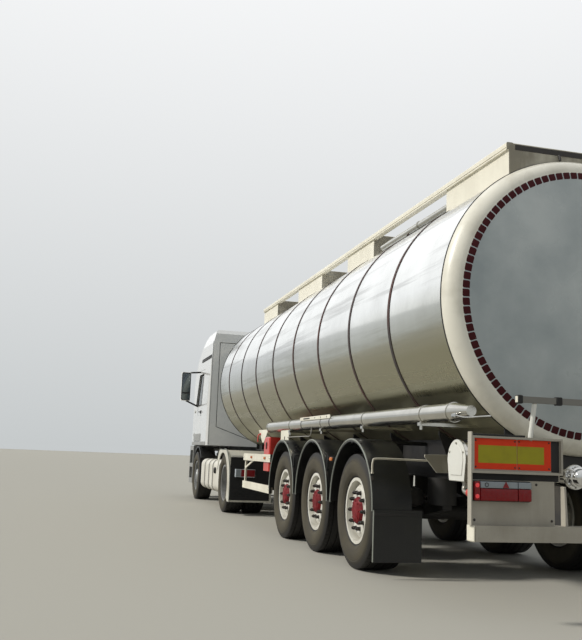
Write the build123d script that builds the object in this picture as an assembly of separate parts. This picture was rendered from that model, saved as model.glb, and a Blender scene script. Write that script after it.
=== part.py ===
"""Tanker lorry: a two-axle tractor unit coupled to a three-axle trailer with a round tank.

Millimetres, +X forwards, +Y to the left, +Z up. The origin lies on the ground under the
middle of the whole vehicle. Sizes come first, then small shape helpers, then one function
for each sub-part, and the table at the end names the nodes and writes them.
"""
from build123d import *
import math
import os

# Clearances
SEAT = 0.3
BEARING = 0.3
SHUT_LINE = 6

# Axle places along the lorry
REAR_OVERHANG = 2460
BOGIE_SPACING = 1310
BOGIE_COUNT = 3
BOGIE_TO_DRIVE = 4040
WHEELBASE = 3600
FRONT_OVERHANG = 1380
BOGIE_SPAN = BOGIE_SPACING * (BOGIE_COUNT - 1)
LENGTH = REAR_OVERHANG + BOGIE_SPAN + BOGIE_TO_DRIVE + WHEELBASE + FRONT_OVERHANG
REAR = -LENGTH / 2
FRONT = LENGTH / 2
BOGIE_X = [REAR + REAR_OVERHANG + i * BOGIE_SPACING for i in range(BOGIE_COUNT)]
DRIVE_X = BOGIE_X[-1] + BOGIE_TO_DRIVE
STEER_X = DRIVE_X + WHEELBASE
KINGPIN_LEAD = 600
KINGPIN_X = DRIVE_X + KINGPIN_LEAD

# Tyres and rims
TRAILER_TYRE_R = 520
TRAILER_TYRE_W = 385
TRAILER_TYRE_Y = 1042
TRACTOR_TYRE_R = 485
TRACTOR_TYRE_W = 315
STEER_TYRE_Y = 1020
TWIN_OUTER_Y = 1088
TWIN_SPACING = 345
RIM_R = 286
RIM_WALL = 14
RIM_LIP = 14
RIM_LIP_T = 10
RIM_SHARE = 0.8
HUB_R = 140
STUD_COUNT = 10
STUD_CIRCLE_R = 167
STUD_R = 15
STUD_PROUD = 32
HUB_PROUD = 75
DISC_T = 12
DISC_FLAT_R = 200
HAND_HOLE_COUNT = 10
HAND_HOLE_R = 22
HAND_HOLE_CIRCLE_R = 236
STEER_DISC_OUT = 60
STEER_DISH = 20
TRAILER_DISC_OUT = 128
TRAILER_DISH = 73
TRAILER_HUB_R = 123
TRAILER_HUB_PROUD = 35
SPINDLE_R = 40

# Tank
TANK_R = 1175
TANK_Z = 2250
TANK_REAR = REAR + 719
TANK_LENGTH = 9470
TANK_FRONT = TANK_REAR + TANK_LENGTH
BAND_PITCH = 1077
BAND_COUNT = 8
BAND_W = 42
BAND_T = 5
REAR_RIM_DEPTH = 119
REAR_FACE_R = 1060
REAR_BULGE = 66
FRONT_RIM_DEPTH = 150
FRONT_FACE_R = 1010
FRONT_BULGE = 110

# Coaming boxes on the tank's crown and the rails that they carry
BOX_HALF_W = 600
BOX_WALL = 8
CROWN_Z = TANK_Z + TANK_R
RAIL_TOP = CROWN_Z + 105
RAIL_H = 62
RAIL_W = 62
RAIL_PROUD = 22
RAIL_ROUND = 12
RAIL_GROOVE_Z = 12
RAIL_GROOVE_H = 8
RAIL_GROOVE_DEPTH = 6
BOX_TOP = RAIL_TOP - RAIL_H - SEAT
# rear edge measured from the tank's rear seam, length
TOP_BOXES = [(0, 1140), (3051, 930), (5081, 1220), (7601, 990)]
VENT_BOX = 2
VENT_Y = 475
VENT_HALF = 55
VENT_FRAME_W = 9
VENT_FRAME_T = 6
VENT_DEPTH = 5
NECK_R = 240
NECK_FLANGE_R = 265
NECK_RISE = 47
NECK_TOP = CROWN_Z + NECK_RISE
NECK_FLANGE_T = 12
LID_T = 16
LID_DOME = 26
LID_HINGE_OUT = 34
LID_HINGE_R = 13
LID_PIN_R = 6
LID_KNUCKLE_W = 100
LID_EAR_W = 20
LID_EAR_GAP = 2

# Walkway and ladder
TREAD_HALF_W = 240
TREAD_T = 25
LADDER_Y = -610
LADDER_W = 380
LADDER_TUBE_R = 19
LADDER_BEHIND = 425
LADDER_FOOT_Z = 880
LADDER_FIRST_RUNG = 90
RUNG_PITCH = 285
RUNG_COUNT = 9
STILE_TOP_DROP = 60

# Long tubes low on the tank's sides
HOSE_TUBE_Y = 1100
HOSE_TUBE_Z = 1360
HOSE_TUBE_R = 70
HOSE_TUBE_REAR = REAR + 630
HOSE_TUBE_LENGTH = 5710
HOSE_CONE = 270
HOSE_CONE_R = 38
HOSE_ARM_FIRST = 500
HOSE_ARM_PITCH = 1340
HOSE_ARM_COUNT = 4
HOSE_ARM_W = 60
HOSE_ARM_T = 26
HOSE_STRAP_T = 5
HOSE_STRAP_W = 36
HOSE_KNOB_R = 13
HOSE_KNOB_H = 30
HOSE_RIM_T = 18
HOSE_RIM_PROUD = 5

# Pipe along the crown, rear discharge and cross tube
CROWN_PIPE_R = 35
CROWN_PIPE_Y = 560
CROWN_PIPE_LENGTH = 1740
CROWN_RING_AT = 690
DISCHARGE_R = 50
DISCHARGE_WALL = 5
DISCHARGE_Z = 930
DISCHARGE_Y = 400
DISCHARGE_END = REAR + 180
DISCHARGE_SUMP_X = REAR + 1350
DISCHARGE_FLANGE_R = 85
DISCHARGE_FLANGE_T = 16
DISCHARGE_BOLT_CIRCLE_R = 70
DISCHARGE_BOLT_COUNT = 8
DISCHARGE_BOLT_R = 7
CROSS_TUBE_X = REAR + 440
CROSS_TUBE_Z = 1016
CROSS_TUBE_R = 145
CROSS_TUBE_SHARE = 0.85
CROSS_TUBE_END = 1150
SHIELD_T = 20
SHIELD_FOOT = 0.82
CROWN_RING_T = 12
CROWN_RING_PROUD = 8

# Trailer frame
BEAM_Y = 500
BEAM_WEB = 16
BEAM_FLANGE_W = 110
BEAM_FLANGE_T = 16
BEAM_BOTTOM = 850
BEAM_REAR = REAR + 480
BEAM_FRONT = KINGPIN_X - 1960
SADDLE_HALF_W = 640
SADDLE_T = 14
SADDLE_DROP = 150
SADDLE_COUNT = 7
SADDLE_INSET = 250
SADDLE_FRONT_INSET = 100

# Coupling
FIFTH_TOP = 1050
COUPLING_PLATE_T = 12
COUPLING_HALF_W = 450
COUPLING_BEHIND = 640
COUPLING_WEB_T = 16
COUPLING_WEB_Y = 400
KINGPIN_R = 25.4
KINGPIN_DROP = 72
THROAT_CLEAR = 1.6
FIFTH_PLATE_R = 460
FIFTH_PLATE_T = 40
FIFTH_FOOT_HALF_X = 150

# Landing gear, raised
LEG_X = BEAM_FRONT - 250
LEG_Y = 640
LEG_W = 130
LEG_TOP = 1150
LEG_BOTTOM = 520
LEG_INNER_W = 100
LEG_INNER_BOTTOM = 380
LEG_FOOT_W = 240
LEG_FOOT_T = 18

# Trailer axles
AXLE_TUBE_R = 63
AXLE_HALF = 850
SPINDLE_LENGTH = 100
ARM_Y = 500
ARM_W = 90
HANGER_LEAD = 480
HANGER_W = 150
AIRBAG_LAG = 350
AIRBAG_R = 130

# Mudguards on the trailer
GUARD_R = 600
GUARD_T = 8
GUARD_Z = 570
GUARD_IN = 900
GUARD_OUT = 1260
GUARD_LIP = 22
FLAP_BOTTOM = 135
FLAP_T = 12
STAY_R = 18

# Side guards and red boxes
SIDE_GUARD_Y = 1250
SIDE_GUARD_REAR = BOGIE_X[-1] + 630
SIDE_GUARD_LEG_GAP = 80
SIDE_GUARD_FRONT = LEG_X - SIDE_GUARD_LEG_GAP
PLANK_T = 25
PLANK_H = 100
PLANK_Z = [490, 890]
POST_W = 50
POST_T = 25
POST_INSET = 10
OUTRIGGER_H = 50
BRACE_W = 25
BRACE_T = 10
BRACE_RUN = 560
BRACE_RISE = 120
RED_BOX_REAR = SIDE_GUARD_REAR + 190
RED_BOX_LENGTH = 310
RED_BOX_DEPTH = 200
RED_BOX_BOTTOM = 770
RED_BOX_TOP = 1220
RED_BOX_ROUND = 70
RED_BOX_SEAM = 6

# Rear end of the trailer
BUMPER_H = 103
BUMPER_Z = 505
BUMPER_DEPTH = 100
BUMPER_HALF_W = 1250
PLATE_IN = 650
PLATE_OUT = 1280
PLATE_TOP = 900
PLATE_T = 8
PLATE_INSET = 48
BOARD_IN = 610
BOARD_BOTTOM = 940
BOARD_TOP = 1180
BOARD_RIM = 14
CARRIER_SIDE_TOP = 1204
LAMP_IN = 840
LAMP_OUT = 1260
LAMP_BOTTOM = 760
LAMP_H = 132
LAMP_DEPTH = 45
GUARD_BAR_Z = 1433
GUARD_BAR_H = 42
GUARD_BAR_T = 30
GUARD_POST_R = 14
GUARD_BAR_HALF = 935

# Tractor frame
RAIL_OUT = 430
RAIL_IN = 350
CHASSIS_BOTTOM = 640
CHASSIS_TOP = 900
CHASSIS_T = 9
CHASSIS_REAR = DRIVE_X - 700
CHASSIS_FRONT = FRONT - 190
CROSS_TUBE_COUNT = 6
CHASSIS_TUBE_R = 45
TILT_X = FRONT - 90
TILT_Z = 930
TILT_PIN_R = 25
TILT_EYE_R = 45
TILT_EYE_IN = 445
TILT_EYE_OUT = 505

# Drive axle
DRIVE_TUBE_R = 75
DRIVE_HALF = 880
DRIVE_SPINDLE_LENGTH = 40
DIFF_R = 200
DRIVE_BAG_R = 110
DRIVE_BAG_OUT = 420
DRIVE_ARM_W = 100

# Steer axle
KNUCKLE_Y = 870
BEAM_W = 90
STEER_BEAM_BOTTOM = 330
STEER_BEAM_TOP = 440
EYE_R = 45
EYE_H = 110
EAR_R = 50
EAR_H = 40
EAR_GAP = 5
STEER_PIN_R = 20
CHEEK_IN = 56
CHEEK_OUT = 84
STEER_SPINDLE_END = 180
STEER_ARM = 200
STEER_ARM_Y = KNUCKLE_Y
BALL_PIN_R = 10
TIE_ROD_R = 16
TIE_EYE_R = 24
TIE_EYE_H = 30
SPRING_Y = 390
SPRING_W = 80
SPRING_HALF = 680
SPRING_PAD = 45

# Engine and gearbox
ENGINE_REAR = STEER_X - 450
ENGINE_LENGTH = 1250
ENGINE_HALF_W = 330
ENGINE_BOTTOM = 620
ENGINE_TOP = 1300
GEARBOX_LENGTH = 900
GEARBOX_HALF_W = 230
GEARBOX_TOP = 1000

# Fuel tanks
FUEL_REAR = KINGPIN_X + 40
FUEL_LENGTH = 2000
FUEL_IN = 570
FUEL_OUT = 1200
FUEL_BOTTOM = 280
FUEL_TOP = 850
FUEL_R = 120
STRAP_PLACES = [600, 1020, 1500]
STRAP_W = 60
STRAP_T = 6

# Mudguards on the tractor
DRIVE_GUARD_IN = 560
DRIVE_GUARD_OUT = 1260
DRIVE_GUARD_T = 8
DRIVE_GUARD_TOP = 1030
DRIVE_GUARD_BEHIND = 710
DRIVE_GUARD_AHEAD = 480
DRIVE_GUARD_FOOT = 210
DRIVE_GUARD_FLAT = 330
DRIVE_ARCH_R = 500

# Tail lamps of the tractor
TRACTOR_LAMP_X = DRIVE_X - DRIVE_GUARD_BEHIND - 50
TRACTOR_LAMP_IN = 850
TRACTOR_LAMP_OUT = 1180
TRACTOR_LAMP_Z = 607
TRACTOR_LAMP_H = 126
TRACTOR_LAMP_DEPTH = 40

# Cab
CAB_FRONT = FRONT - 40
CAB_LENGTH = 2310
CAB_REAR = CAB_FRONT - CAB_LENGTH
CAB_BOTTOM = 1110
CAB_LIP = 1000
CAB_HALF_W = 1150
CAB_TOP = 3500
CAB_WAIST = 1950
CAB_LEAN = 32
CAB_WALL = 50
CORNER_LONG = 430
CORNER_WIDE = 300
CORNER_SET_BACK = 20
CORNER_STEPS = 5
REAR_CORNER = 40
ROOF_REAR_Z = CAB_TOP - 120
ROOF_FLAT = 500
BROW_X = CAB_FRONT - 450
BROW_Z = 2880
ROOF_NOSE_X = CAB_FRONT - 590
ROOF_NOSE_Z = 3010
ROOF_BREAK_X = CAB_FRONT - 1110
ROOF_BREAK_Z = 3360
NOSE_Z = 1500
FLOOR_TOP = 1400
FLOOR_T = 60
REAR_PANEL_HALF = 960
REAR_PANEL_LOW = 1480
REAR_PANEL_POINT = 1250
REAR_PANEL_HIGH = 3200
GROOVE_W = 14
GROOVE_DEPTH = 6

# Doors and glass
DOOR_FRONT = CAB_FRONT - 680
DOOR_LENGTH = 900
DOOR_REAR = DOOR_FRONT - DOOR_LENGTH
DOOR_BOTTOM = 1190
DOOR_TOP = 2700
DOOR_SLANT = 205
DOOR_DEPTH = CAB_WALL + 20
WINDOW_REAR_FRAME = 90
WINDOW_FRONT_FRAME = 95
WINDOW_TOP_FRAME = 90
WINDOW_SLANT = 170
HINGE_PROUD = 12
HINGE_R = 8
HINGE_PIN_R = 4
HINGE_H = 30
HINGE_LEAF = 40
HINGE_PLACES = [1300, 1800]
GLASS_T = 6
GLASS_INSET = 22
SCREEN_HALF_W = 960
SCREEN_TOP = (BROW_X + 24, BROW_Z - 55)
SCREEN_LOW = (CAB_FRONT - 74, CAB_WAIST + 55)
SCREEN_T = 8
MIRROR_X = DOOR_FRONT - 320
MIRROR_GAP = 185
MIRROR_W = 205
MIRROR_DEPTH = 120
MIRROR_LOW = 2050
MIRROR_HIGH = 2660
MIRROR_ARM_R = 16

# Grille, visor and the inside of the cab
GRILLE_HALF_W = 740
GRILLE_LOW = 1100
GRILLE_PITCH = 130
GRILLE_COUNT = 6
GRILLE_BAR_H = 70
GRILLE_BACK_T = 12
GRILLE_PROUD = 34
VISOR_HALF_W = 1000
VISOR_REACH = 240
VISOR_DROP = 60
SEAT_Y = 600
SEAT_REAR = DOOR_REAR + 190
SEAT_LENGTH = 510
SEAT_HALF_W = 250
SEAT_CUSHION_Z = 1750
SEAT_CUSHION_T = 140
SEAT_BACK_TOP = 2520
PEDESTAL_INSET = 80
BUNK_LENGTH = 650
BUNK_TOP = 1950
INSIDE_HALF_W = 1000
DASH_FRONT = CAB_FRONT - 130
DASH_DEPTH = 260
DASH_TOP = 1930
COLUMN_X = DASH_FRONT - 530
COLUMN_Z = 1960
STEERING_R = 215
STEERING_RIM_R = 16
STEERING_LEAN = 50

# Bumper and steps
FRONT_BUMPER_BOTTOM = 350
FRONT_BUMPER_TOP = 900
FRONT_BUMPER_WALL = 30
STEP_REAR = STEER_X + 620
STEP_FRONT = FRONT - 180
STEP_IN = 830
STEP_BOTTOM = 300
STEP_TOP = 1095
TREAD_HEIGHTS = [(400, 640), (720, 1000)]
TREAD_DEPTH = 190
HEADLAMP_IN = 700
HEADLAMP_OUT = 1090
HEADLAMP_LOW = 690
HEADLAMP_HIGH = 860


def block(x0, x1, y0, y1, z0, z1):
    """Box between two corners."""
    size = Box(abs(x1 - x0), abs(y1 - y0), abs(z1 - z0))
    return Pos((x0 + x1) / 2, (y0 + y1) / 2, (z0 + z1) / 2) * size


def rod_x(y, z, x0, x1, radius):
    """Round bar along X."""
    return Pos((x0 + x1) / 2, y, z) * Rot(0, 90, 0) * Cylinder(radius, x1 - x0)


def rod_y(x, z, y0, y1, radius):
    """Round bar along Y."""
    return Pos(x, (y0 + y1) / 2, z) * Rot(90, 0, 0) * Cylinder(radius, abs(y1 - y0))


def rod_z(x, y, z0, z1, radius):
    """Upright round bar."""
    return Pos(x, y, (z0 + z1) / 2) * Cylinder(radius, z1 - z0)


def bar(start, end, radius):
    """Round bar between two points."""
    run = Vector(*end) - Vector(*start)
    plane = Plane(origin=start, z_dir=run)
    return extrude(plane * Circle(radius), amount=run.length)


def side_plate(points, y0, y1):
    """Outline in X and Z with its thickness along Y."""
    low, high = min(y0, y1), max(y0, y1)
    outline = make_face(Plane.XZ.offset(-high) * Polyline(*points, close=True))
    return extrude(outline, amount=high - low, dir=(0, -1, 0))


def end_plate(points, x0, x1):
    """Outline in Y and Z with its thickness along X."""
    outline = make_face(Plane.YZ.offset(x0) * Polyline(*points, close=True))
    return extrude(outline, amount=x1 - x0, dir=(1, 0, 0))


def spun(points, x, y, z):
    """Ring about an axis along Y through a point: points are (distance along Y, radius)."""
    plane = Plane(origin=(x, y, z), x_dir=(0, 1, 0), z_dir=(1, 0, 0))
    profile = make_face(plane * Polyline(*points, close=True))
    return revolve(profile, Axis((x, y, z), (0, 1, 0)), 360)


def mirrored(shape):
    """The same piece on the other side of the lorry."""
    return mirror(shape, about=Plane.XZ)


def both_sides(shape):
    """List of the piece and its mirror image."""
    return [shape, mirrored(shape)]


def fused(first, *others):
    """One solid from pieces that meet."""
    shape = first
    for other in others:
        shape = shape + other
    return shape


def tank_under(y):
    """Height of the tank's underside at a distance from its middle."""
    return TANK_Z - math.sqrt(TANK_R ** 2 - y ** 2)


def tank_over(y):
    """Height of the tank's upper side at a distance from its middle."""
    return TANK_Z + math.sqrt(TANK_R ** 2 - y ** 2)


def band_x(i):
    """Middle of one joint band, counted from 1 at the rear."""
    return TANK_REAR + i * BAND_PITCH


def tank_space():
    """Room that the tank and its joint bands take, with the seat's clearance."""
    space = rod_x(0, TANK_Z, REAR - 100, FRONT, TANK_R + SEAT)
    half = BAND_W / 2 + SEAT
    for i in range(1, BAND_COUNT + 1):
        space = space + rod_x(0, TANK_Z, band_x(i) - half, band_x(i) + half, TANK_R + BAND_T + SEAT)
    return space


TANK_SPACE = tank_space()


# Tank

def tank_barrel():
    """Clad round tank between its two seams."""
    return rod_x(0, TANK_Z, TANK_REAR, TANK_FRONT, TANK_R)


def barrel_bands():
    """Cover bands over the joints of the cladding."""
    bands = []
    for i in range(1, BAND_COUNT + 1):
        ends = (band_x(i) - BAND_W / 2, band_x(i) + BAND_W / 2)
        outer = rod_x(0, TANK_Z, *ends, TANK_R + BAND_T)
        bands.append(outer - rod_x(0, TANK_Z, *ends, TANK_R + SEAT))
    return bands


def cap_height(edge_r, bulge, r):
    """Height of a spherical cap of given edge radius and bulge, at radius r."""
    ball_r = (edge_r ** 2 + bulge ** 2) / (2 * bulge)
    return bulge - ball_r + math.sqrt(ball_r ** 2 - r ** 2)


def dished_end(seam, way, rim_depth, face_r, bulge):
    """Round rim and shallow dish, turned about the tank's axis, way -1 to the rear."""
    plane = Plane(origin=(seam, 0, TANK_Z), x_dir=(way, 0, 0), z_dir=(0, -way, 0))
    start = (SEAT, TANK_R)
    rim = (rim_depth, face_r)
    drop = TANK_R - face_r
    middle = (rim_depth * 0.72, TANK_R - drop * 0.30)
    nose = (rim_depth + bulge, 0)
    dish_mid = (rim_depth + cap_height(face_r, bulge, face_r / 2), face_r / 2)
    outline = Polyline((SEAT, 0), start)
    outline += ThreePointArc(start, middle, rim)
    outline += ThreePointArc(rim, dish_mid, nose)
    outline += Line(nose, (SEAT, 0))
    profile = make_face(plane * outline)
    return revolve(profile, Axis((seam, 0, TANK_Z), (1, 0, 0)), 360)


def tank_end_caps():
    """Painted ends of the tank."""
    rear = dished_end(TANK_REAR, -1, REAR_RIM_DEPTH, REAR_FACE_R, REAR_BULGE)
    front = dished_end(TANK_FRONT, 1, FRONT_RIM_DEPTH, FRONT_FACE_R, FRONT_BULGE)
    return [rear, front]


# Crown of the tank

def box_span(box):
    """Rear and front of a coaming box."""
    rear = TANK_REAR + box[0]
    return rear, rear + box[1]


def lid_centre(box):
    """Middle of a box along X, where its manhole stands."""
    rear, front = box_span(box)
    return (rear + front) / 2


def lid_hinge_x(box):
    """Place of a lid's hinge pin, ahead of the neck."""
    return lid_centre(box) + NECK_FLANGE_R + LID_HINGE_OUT


LID_HINGE_Z = NECK_TOP + SEAT + LID_T / 2


def coaming(box):
    """Open tray of four upright walls that follow the tank at their foot."""
    rear, front = box_span(box)
    foot = TANK_Z + TANK_R / 2
    outer = block(rear, front, -BOX_HALF_W, BOX_HALF_W, foot, BOX_TOP)
    inner_y = BOX_HALF_W - BOX_WALL
    inner = block(rear + BOX_WALL, front - BOX_WALL, -inner_y, inner_y, foot, BOX_TOP)
    return outer - inner - TANK_SPACE


def vent_frame(wall_x, grow, depth):
    """Square outline of the vent on a rear wall, grown by a frame and reaching depth behind it."""
    half = VENT_HALF + grow
    middle = tank_over(VENT_Y) + VENT_HALF + 2 * VENT_FRAME_W
    return block(wall_x - VENT_FRAME_T, wall_x + depth, VENT_Y - half, VENT_Y + half,
                 middle - half, middle + half)


def vented(shape, box):
    """Coaming with a framed vent recessed in its rear wall."""
    wall_x = box_span(box)[0]
    framed = shape + vent_frame(wall_x, VENT_FRAME_W, 0) - vent_frame(wall_x, 0, VENT_DEPTH)
    return framed - TANK_SPACE


def manhole_neck(box):
    """Round neck with its flange and the two ears of the lid's hinge."""
    x = lid_centre(box)
    neck = rod_z(x, 0, TANK_Z, NECK_TOP, NECK_R)
    flange = rod_z(x, 0, NECK_TOP - NECK_FLANGE_T, NECK_TOP, NECK_FLANGE_R)
    hinge_x = lid_hinge_x(box)
    ear_in = LID_KNUCKLE_W / 2 + LID_EAR_GAP
    ear_out = ear_in + LID_EAR_W
    shape = neck + flange
    for side in (-1, 1):
        low, high = sorted((side * ear_in, side * ear_out))
        foot = block(x, hinge_x, low, high, NECK_TOP - NECK_FLANGE_T, NECK_TOP)
        post = block(hinge_x - LID_HINGE_R, hinge_x + LID_HINGE_R, low, high,
                     NECK_TOP - NECK_FLANGE_T, LID_HINGE_Z)
        shape = fused(shape, foot, post, rod_y(hinge_x, LID_HINGE_Z, low, high, LID_HINGE_R))
    shape = shape + rod_y(hinge_x, LID_HINGE_Z, -ear_out, ear_out, LID_PIN_R)
    return shape - TANK_SPACE


def top_boxes():
    """Four coaming boxes and the manhole necks in them."""
    pieces = []
    for i, box in enumerate(TOP_BOXES):
        tray = coaming(box)
        pieces.append(vented(tray, box) if i == VENT_BOX else tray)
        pieces.append(manhole_neck(box))
    return pieces


def manhole_lid(box):
    """Shallow domed lid with the barrel of its hinge."""
    x = lid_centre(box)
    z = NECK_TOP + SEAT
    plane = Plane(origin=(x, 0, z), x_dir=(1, 0, 0), z_dir=(0, -1, 0))
    rim = (NECK_FLANGE_R, LID_T)
    outline = Polyline((0, 0), (NECK_FLANGE_R, 0), rim)
    half_r = NECK_FLANGE_R / 2
    crown = LID_T + cap_height(NECK_FLANGE_R, LID_DOME, half_r)
    outline += ThreePointArc(rim, (half_r, crown), (0, LID_T + LID_DOME))
    outline += Line((0, LID_T + LID_DOME), (0, 0))
    disc = revolve(make_face(plane * outline), Axis((x, 0, z), (0, 0, 1)), 360)
    hinge_x = lid_hinge_x(box)
    half = LID_KNUCKLE_W / 2
    leaf = block(x + NECK_R, hinge_x, -half, half, z, z + LID_T)
    barrel = rod_y(hinge_x, LID_HINGE_Z, -half, half, LID_HINGE_R)
    bore = rod_y(hinge_x, LID_HINGE_Z, -half, half, LID_PIN_R + BEARING)
    return [fused(disc, leaf, barrel) - bore]


def top_rail():
    """Long rail over the boxes' side walls, with a groove low on its outer face."""
    rear = TANK_REAR
    front = box_span(TOP_BOXES[-1])[1]
    outer = BOX_HALF_W + RAIL_PROUD
    rail = block(rear, front, outer - RAIL_W, outer, BOX_TOP + SEAT, RAIL_TOP)
    edges = rail.edges().filter_by(Axis.X).group_by(Axis.Z)[-1]
    groove_z = BOX_TOP + SEAT + RAIL_GROOVE_Z
    groove = block(rear, front, outer - RAIL_GROOVE_DEPTH, outer, groove_z, groove_z + RAIL_GROOVE_H)
    return fillet(edges, RAIL_ROUND) - groove


def cross_rails(box):
    """Rails over a box's end walls, between the two long rails."""
    half = BOX_HALF_W + RAIL_PROUD - RAIL_W - SEAT
    rear, front = box_span(box)
    low = BOX_TOP + SEAT
    bars = []
    for x in (rear, front - RAIL_W):
        rail = block(x, x + RAIL_W, -half, half, low, RAIL_TOP)
        edges = rail.edges().filter_by(Axis.Y).group_by(Axis.Z)[-1]
        bars.append(fillet(edges, RAIL_ROUND))
    return bars


def tread(start, end):
    """Walking plate between two boxes, on two feet that follow the tank."""
    top = BOX_TOP
    plate = block(start + SEAT, end - SEAT, -TREAD_HALF_W, TREAD_HALF_W, top - TREAD_T, top)
    shape = plate
    for x in (start + 200, end - 200):
        foot = block(x - 10, x + 10, -TREAD_HALF_W, TREAD_HALF_W, tank_over(BOX_HALF_W), top - TREAD_T)
        shape = shape + foot
    return shape - TANK_SPACE


def ladder():
    """Ladder behind the tank, from the bumper's height up to the walkway."""
    x = TANK_REAR - LADDER_BEHIND
    top = BOX_TOP - STILE_TOP_DROP
    near = LADDER_Y + LADDER_W / 2
    far = LADDER_Y - LADDER_W / 2
    foot_y = -BEAM_Y - BEAM_WEB / 2
    foot = block(x, BEAM_REAR - SEAT, foot_y, near + LADDER_TUBE_R / 2, LADDER_FOOT_Z, LADDER_FOOT_Z + 50)
    shape = foot
    for y in (near, far):
        stile = rod_z(x, y, LADDER_FOOT_Z, top, LADDER_TUBE_R)
        joint = Pos(x, y, top) * Sphere(LADDER_TUBE_R)
        wall_y = max(y, -BOX_HALF_W + 40)
        reach = bar((x, y, top), (TANK_REAR + 100, wall_y, top), LADDER_TUBE_R)
        reach = reach - block(TANK_REAR - SEAT, TANK_REAR + 200, y - 300, y + 300, top - 200, top + 200)
        shape = fused(shape, stile, joint, reach)
    for i in range(RUNG_COUNT):
        z = LADDER_FOOT_Z + LADDER_FIRST_RUNG + i * RUNG_PITCH
        shape = shape + rod_y(x, z, far, near, LADDER_TUBE_R * 0.7)
    return shape


def walkway():
    """Rails along the boxes, treads between them and the rear ladder."""
    pieces = both_sides(top_rail())
    for box in TOP_BOXES:
        pieces += cross_rails(box)
    for box, ahead in zip(TOP_BOXES, TOP_BOXES[1:]):
        pieces.append(tread(box_span(box)[1], box_span(ahead)[0]))
    pieces.append(ladder())
    return pieces


# Tubes and pipes

def ring_x(x, y, z, width, inner, outer):
    """Flat ring about an axis along X, starting at x."""
    return rod_x(y, z, x, x + width, outer) - rod_x(y, z, x, x + width, inner)


def hose_cradle(x):
    """Arm from the frame, the strap round the tube and the knob that clamps it."""
    top = HOSE_TUBE_Z - HOSE_TUBE_R + 6
    arm = block(x - HOSE_ARM_W / 2, x + HOSE_ARM_W / 2, BEAM_Y, HOSE_TUBE_Y + 60, top - HOSE_ARM_T, top)
    strap = ring_x(x - HOSE_STRAP_W / 2, HOSE_TUBE_Y, HOSE_TUBE_Z, HOSE_STRAP_W, HOSE_TUBE_R - 2,
                   HOSE_TUBE_R + HOSE_STRAP_T)
    low = top - HOSE_ARM_T
    knob = rod_z(x, HOSE_TUBE_Y + 40, low - HOSE_KNOB_H, low + 5, HOSE_KNOB_R)
    return fused(arm, strap, knob)


def hose_tube():
    """Steel tube with a coned rear door and rims at its ends, on arms that stand out from the tank."""
    front = HOSE_TUBE_REAR + HOSE_TUBE_LENGTH
    y, z = HOSE_TUBE_Y, HOSE_TUBE_Z
    tube = rod_x(y, z, HOSE_TUBE_REAR, front, HOSE_TUBE_R)
    place = Pos(HOSE_TUBE_REAR - HOSE_CONE / 2, y, z) * Rot(0, 90, 0)
    cone = place * Cone(HOSE_CONE_R, HOSE_TUBE_R, HOSE_CONE)
    shape = tube + cone
    for x in (HOSE_TUBE_REAR, front - HOSE_RIM_T):
        shape = shape + ring_x(x, y, z, HOSE_RIM_T, HOSE_TUBE_R - 2, HOSE_TUBE_R + HOSE_RIM_PROUD)
    for i in range(HOSE_ARM_COUNT):
        shape = shape + hose_cradle(HOSE_TUBE_REAR + HOSE_ARM_FIRST + i * HOSE_ARM_PITCH)
    return shape - TANK_SPACE


def hose_tubes():
    """One tube on each side."""
    return both_sides(hose_tube())


def crown_pipe():
    """Pipe beside the boxes, along the tank's shoulder."""
    reach = TANK_R + BAND_T + SEAT + CROWN_PIPE_R
    z = TANK_Z + math.sqrt(reach ** 2 - CROWN_PIPE_Y ** 2)
    start = box_span(TOP_BOXES[0])[1] + SEAT
    front = start + CROWN_PIPE_LENGTH
    pipe = rod_x(CROWN_PIPE_Y, z, start, front - CROWN_PIPE_R, CROWN_PIPE_R)
    nose = Pos(front - CROWN_PIPE_R, CROWN_PIPE_Y, z) * Sphere(CROWN_PIPE_R)
    collar = ring_x(start + CROWN_RING_AT, CROWN_PIPE_Y, z, CROWN_RING_T, CROWN_PIPE_R - 2,
                    CROWN_PIPE_R + CROWN_RING_PROUD)
    return fused(pipe, nose, collar) - TANK_SPACE


def discharge():
    """Outlet from the sump, back to a flange that a hose coupling bolts to."""
    x = DISCHARGE_SUMP_X
    outer = fused(
        rod_z(x, 0, DISCHARGE_Z, tank_under(0) + 40, DISCHARGE_R),
        Pos(x, 0, DISCHARGE_Z) * Sphere(DISCHARGE_R),
        rod_y(x, DISCHARGE_Z, 0, DISCHARGE_Y, DISCHARGE_R),
        Pos(x, DISCHARGE_Y, DISCHARGE_Z) * Sphere(DISCHARGE_R),
        rod_x(DISCHARGE_Y, DISCHARGE_Z, DISCHARGE_END, x, DISCHARGE_R),
        rod_x(DISCHARGE_Y, DISCHARGE_Z, DISCHARGE_END, DISCHARGE_END + DISCHARGE_FLANGE_T,
              DISCHARGE_FLANGE_R),
    )
    bore_r = DISCHARGE_R - DISCHARGE_WALL
    outer = outer - rod_x(DISCHARGE_Y, DISCHARGE_Z, DISCHARGE_END, DISCHARGE_END + 200, bore_r)
    for i in range(DISCHARGE_BOLT_COUNT):
        angle = 2 * math.pi * (i + 0.5) / DISCHARGE_BOLT_COUNT
        y = DISCHARGE_Y + DISCHARGE_BOLT_CIRCLE_R * math.cos(angle)
        z = DISCHARGE_Z + DISCHARGE_BOLT_CIRCLE_R * math.sin(angle)
        outer = outer - rod_x(y, z, DISCHARGE_END, DISCHARGE_END + DISCHARGE_FLANGE_T, DISCHARGE_BOLT_R)
    return outer - TANK_SPACE


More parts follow.
